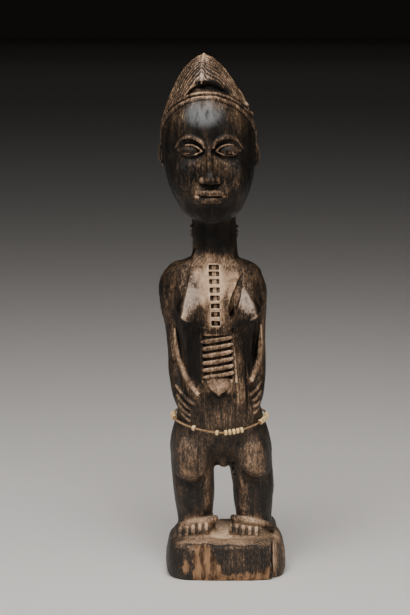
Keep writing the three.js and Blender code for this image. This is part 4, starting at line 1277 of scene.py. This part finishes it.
# Less rubbing along the lower edges of the breasts, so that the painted shadow under them stays dark.
under_breasts = band(187, 207) * (y < -10) * step(np.abs(upright), 9, 12) * step(tips, 5, 8)
rubbed *= 1 - 0.8 * under_breasts
toe, gap = np.zeros(count), np.zeros(count)
for _, toes, _, _ in FEET:
    there = ((np.abs(x - toes) < 2.5 * TOE_PITCH) * step(-y, 15, 17) * (1 - step(-y, 26, 28))
             * step(z, 31.6, 32.4) * (z < 41))
    wave = np.cos(2 * math.pi * (x - toes) / TOE_PITCH)
    toe, gap = np.maximum(toe, there * step(wave, 0.1, 0.8)), np.maximum(gap, there * step(-wave, 0.1, 0.8))
store("rubbed", rubbed)
dusty = np.maximum(step(normals[:, 2], 0.6, 0.95) * (z < 38), 0.6 * band(30, 47) * (y < 0))
scars = (np.abs(upright) < 13) * (y < 0) * (0.6 * band(152, 190) + 0.3 * band(190, 242))
# Less crust and painted shade on upward faces near the base and on the scars.
store("hollow", step(-bulge, 0.04, 0.25) * (1 - np.maximum(0.5 * dusty, scars)))
hidden *= (1 - 0.95 * dusty) * (1 - scars)
store("hidden", hidden)
front = step(-normals[:, 1], 0.1, 0.6)
patch = bare_patch(x, z) * (z < 29) * step(-y, 30, 34) * front
store("bare", patch)
# Soft patches (middle x, y, z, radii x, y, z, strength), x upright above the feet.
WEAR_AND_HIGHLIGHT_PATCHES = [
    # head and hair
    (-1, -8, 397, 5, 14, 6, 0.6), (-2, -26, 385, 5, 9, 12, 0.5), (16, -12, 376, 20, 24, 20, 0.2),
    (0, -26, 372, 26, 9, 8, 0.3), (0, -27, 362, 22, 8, 5, 0.45), (-18, -22, 352, 8, 9, 12, 0.3),
    (20, -22, 352, 9, 9, 12, 0.35), (0, -30, 325, 20, 12, 14, 0.3), (0, -26, 300, 13, 12, 9, 0.75),
    # shoulders, chest and breasts; the breast facets are rubbed and carry a painted highlight
    (2, -12, 243, 24, 10, 7, 0.8), (14, -15, 233, 6, 8, 7, 1.0), (-13, -16, 232, 5, 8, 9, 1.0),
    (0, 0, 228, 46, 40, 14, 0.3), (0, 16, 226, 38, 12, 14, 0.3), (-1, -16, 224, 17, 10, 24, 1.3),
    (14, -20, 221, 6, 8, 14, 1.05), (-19, -24, 219, 8, 9, 20, 0.95), (-9, -20, 217, 8, 9, 13, 1.15),
    (25, -23, 214, 9, 9, 16, 0.95), (-24, -27, 207, 6, 9, 11, 0.95), (0, -22, 204, 11, 8, 13, 0.95),
    (-36, 0, 195, 9, 20, 40, 0.2), (40, 0, 195, 8, 20, 40, 0.2), (0, -24, 192, 14, 8, 7, 0.3),
    # belly, panel and hands
    (16.5, -23, 172, 4.5, 8, 16, 0.34), (0, -25, 171, 15, 5, 20, 0.38), (1, -27, 149, 12, 8, 9, 0.9),
    (16, -24, 146, 6, 8, 15, 0.58), (27, -16, 134, 8, 10, 13, 0.35), (-27, -16, 134, 8, 10, 12, 0.08),
    (0, -24, 118, 34, 12, 16, 0.38),
    # back of the hips, thighs and shins; a painted highlight at the lower end of each thigh shield
    (0, -22, 100, 14, 12, 12, 0.28), (17, 30, 98, 11, 9, 13, 0.32), (-17, 30, 98, 11, 9, 13, 0.32),
    (-24, -21, 92, 15, 9, 20, 0.58), (26, -21, 92, 14, 9, 18, 0.65), (26, -20, 82.5, 9, 8, 6, 0.8),
    (-24.5, -20, 80, 9, 8, 6, 0.85), (0, 0, 70, 70, 60, 60, 0.2), (-12, -10, 60, 6, 16, 30, 0.65),
    (14, -10, 55, 6, 16, 26, 0.6),
    # feet and base
    (-22, -16, 40, 18, 10, 8, 1.05), (20, -16, 40, 18, 10, 8, 0.95), (0, -12, 31, 44, 26, 5, 1.15),
    (0, 12, 31, 15, 32, 5, 1.9), (-2, -12, 31, 14, 20, 5, 1.9), (42, -12, 31, 9, 26, 5, 1.0),
    (38, -16, 30, 5, 9, 4, 1.1), (-8, -33, 29.5, 44, 10, 5.5, 0.92), (10, -38, 18, 26, 8, 10, 0.25),
    (36, -24, 17, 4, 12, 16, 0.9), (44, -14, 16, 5, 20, 16, 0.4),
]
# Painted shade: patches darkened where shadow falls on the figure: in the recess under the front of the crest,
# across the brows, round the eyes, on the sides of the face, under the chin, on the neck, beside and under the
# breasts, in the flanks and below the thigh shields.
PAINTED_SHADE_PATCHES = [
    # head and hair
    (4, -27, 376.5, 13, 8, 4.2, 1.0), (16, -24, 373, 9, 7, 3.4, 0.8), (0, -30, 346, 26, 12, 10, 0.3),
    (-14, -30, 328.5, 10, 7, 8, 0.22), (14, -30, 328.5, 10, 7, 8, 0.22), (-30, -10, 310, 12, 22, 30, 0.45),
    (30, -10, 310, 12, 22, 30, 0.45), (0, -24, 283, 22, 12, 10, 0.4), (1.7, -10, 262, 17, 9, 10, 0.7),
    # shoulders, chest and breasts
    (34, -18, 205, 4, 9, 6, 0.5), (-29, -20, 204, 5, 9, 7, 0.6), (24, -26, 195.5, 10, 7, 5, 1.0),
    (-21, -27, 194.5, 10, 7, 5, 1.0),
    # belly, panel and hands
    (25, -22, 174, 6, 9, 17, 0.8), (-20, -24, 172, 9, 9, 22, 1.0),
    # back of the hips, thighs and shins
    (30, -12, 60, 9, 10, 12, 0.25), (-27, -14, 58, 9, 8, 12, 0.3),
]


def spread(places):
    """How far each vertex lies in the soft patches."""
    most = np.zeros(count)
    for cx, cy, cz, rx, ry, rz, strength in places:
        across = upright if cz > 60 else x
        near = np.sqrt(((across - cx) / rx) ** 2 + ((y - cy) / ry) ** 2 + ((z - cz) / rz) ** 2)
        most = np.maximum(most, strength * (1 - step(near, 0.35, 1.4)))
    return most


# facing: surfaces that turn sideways get less of the wear, which paints shade down the sides of the figure.
facing = 1 - 0.6 * step(np.abs(normals[:, 0]), 0.65, 0.97) * (z > 48)
forearms = np.minimum(*(shape(upright, y, z) for shape, _ in (fingers[-1], fingers[-3])))
beside = np.full(count, 99.0)
for line, side in zip(FOREARM_RIDGES, (-1, 1)):
    edge = np.interp(z, [p[1] for p in line[::-1]], [abs(p[0]) for p in line[::-1]])
    beside = np.where(side * upright > 0, side * upright - edge, beside)
inside_crack = 1 - step(np.abs(beside_crack), 0.3, 0.9)
# turned_down: the downward-facing undersides of the breasts get less wear, as painted shade.
turned_down = (step(np.abs(upright), 8, 10.5) * (z > 190) * (1 - step(z, 207, 215)) * (y < -12)
               * (1 - step(normals[:, 2], 0.0, 0.28)))
wear_and_highlight = spread(WEAR_AND_HIGHLIGHT_PATCHES) * facing * (1 - 0.35 * inside_crack) * (1 - 0.7 * turned_down) + 0.1 * toe
ridge = (0.74 - 0.34 * step(z, 168, 190)) * (1 - step(forearms, 0.0, 1.6))
glow = 0.6 * (1 - step(forearms, 0.0, 7.0)) * np.maximum(step(beside, -0.5, 1.5), 0.6 * (1 - step(z, 158, 166)))
store("wear_and_highlight", np.maximum.reduce([wear_and_highlight, ridge, glow]))
# Painted shade on these patches and, more faintly, in the gaps between the toes.
store("painted_shade", np.maximum(spread(PAINTED_SHADE_PATCHES), 0.4 * gap))
# A painted highlight on the forehead: a pale blue-grey colour where light would reflect.
forehead = np.sqrt(((upright + 3) / 24) ** 2 + ((y + 30) / 16) ** 2 + ((z - 356) / 17) ** 2)
store("painted_forehead_highlight", 1 - step(forehead, 0.1, 1.2))
# A painted highlight on the breast facets and the front tip of the crest.
facets = np.minimum(np.hypot((upright + 19) / 8, (z - 216) / 20), np.hypot((upright - 25) / 8, (z - 213) / 16))
facets = np.minimum(facets, np.hypot((upright + 3) / 6, (z - 385) / 11))
store("painted_facet_highlight", (1 - step(facets, 0.5, 1.3)) * (y < -10))
store("film", 1 - step(z, 105, 150))


# The finish: a hard dark skin of oil and soot, rubbed through to brown and tan on edges and
# ridges, dull crust and painted shade in the hollows and shaded patches, painted highlights on the
# forehead and breast facets, and pale raw wood where pieces broke off.
CRUST = (0.0035, 0.0028, 0.0022), (0.013, 0.0095, 0.0065)  # from the dark to the light of each
BROWN = (0.052, 0.030, 0.0165), (0.112, 0.069, 0.040)
TAN = (0.27, 0.162, 0.096), (0.48, 0.31, 0.192)
PALE = (0.56, 0.375, 0.24), (0.76, 0.55, 0.38)
RAW = (0.055, 0.027, 0.015), (0.42, 0.24, 0.128)
GREY_FILM, PAINTED_FACET_GREY, DEEP_CRUST_AND_SHADE = (0.085, 0.083, 0.078), (0.42, 0.375, 0.355), (0.008, 0.0055, 0.004)
PAINTED_FOREHEAD_GREY = (0.2, 0.206, 0.21)


def wood_finish():
    wood = Finish("dark_wood")
    plus, times, ramp, mix = wood.plus, wood.times, wood.ramp, wood.mix
    rubbed, hollow, hidden, bare, wear_and_highlight, painted_forehead_highlight, painted_shade, painted_facet_highlight, film = map(wood.attribute, (
        "rubbed", "hollow", "hidden", "bare", "wear_and_highlight", "painted_forehead_highlight", "painted_shade", "painted_facet_highlight", "film"))
    blotch = wood.noise(42, 4, 0.6, (1, 1, 0.6))
    patchy = wood.noise(150, 4, 0.6, (1, 1, 0.45), 0.3)
    fleck = wood.noise(850, 3, 0.75, (1, 1, 0.5), 0.6)
    scratch = wood.noise(900, 2, 0.6, (1, 1, 0.07), 0.8)
    grain = wood.noise(300, 4, 0.6, (1, 1, 0.05), 0.4)

    def swing(noise, share):
        return times(plus(noise, -0.5), share)

    # How far the skin is rubbed through: hands, with painted highlights, less in hollows and in the painted shade,
    # then broad and fine unevenness.
    lively = plus(1.0, times(ramp(wear_and_highlight, 0.5, 1.2), -0.7))
    wear = times(plus(times(rubbed, 0.8), wear_and_highlight), ramp(hidden, 0.62, 0.25))
    wear = plus(wear, times(painted_shade, -1.0), times(plus(swing(blotch, 0.9), swing(patchy, 1.2)), lively))
    fine = times(plus(swing(fleck, 2.4), swing(scratch, 1.5)), lively)
    chance = plus(wear, fine)
    brown_share, tan_share = ramp(chance, -0.15, 0.6), ramp(chance, 0.4, 1.2)
    pale_share = ramp(plus(wear, times(fine, 0.45)), 0.85, 1.5)
    # Crust and painted shade in hollows and where the surface is hemmed in.
    deep = times(ramp(plus(hollow, times(hidden, 1.3)), 0.6, 1.35), 0.9)

    along_grain = ramp(grain, 0.3, 0.7)
    colour = mix(brown_share, mix(ramp(patchy, 0.35, 0.65), *CRUST), mix(along_grain, *BROWN))
    colour = mix(times(film, 0.2), colour, GREY_FILM)
    colour = mix(tan_share, colour, mix(along_grain, *TAN))
    colour = mix(pale_share, colour, mix(along_grain, *PALE))
    # The painted highlight on the breast facets and crest tip, pale lilac-grey.
    colour = mix(times(times(painted_facet_highlight, tan_share), 0.5), colour, PAINTED_FACET_GREY)
    raw = mix(ramp(plus(times(grain, 0.5), times(patchy, 0.5)), 0.4, 0.58), *RAW)
    colour = mix(ramp(plus(bare, swing(grain, 1.5)), 0.4, 0.75), colour, raw)
    colour = mix(deep, colour, DEEP_CRUST_AND_SHADE)
    # The painted forehead highlight.
    colour = mix(times(ramp(painted_forehead_highlight, 0.3, 1.1), ramp(patchy, 0.25, 0.6)), colour, PAINTED_FOREHEAD_GREY)

    dull = plus(times(brown_share, 0.16), times(fleck, 0.35), times(wood.math("MAXIMUM", bare, deep), 0.35),
                times(painted_shade, 0.35))
    calm = plus(0.6, times(painted_forehead_highlight, -0.25))
    relief = wood.bump(patchy, 0.0022, calm)
    relief = wood.bump(grain, 0.0008, calm, relief)
    relief = wood.bump(fleck, 0.0007, calm, relief)
    return wood.surface(Base_Color=colour, Roughness=wood.math("ADD", dull, 0.22, clamp=True), Normal=relief,
                        Specular_IOR_Level=0.21)


carving_mesh.materials.clear()
carving_mesh.materials.append(wood_finish())
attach(carving, "root")
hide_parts("figure")
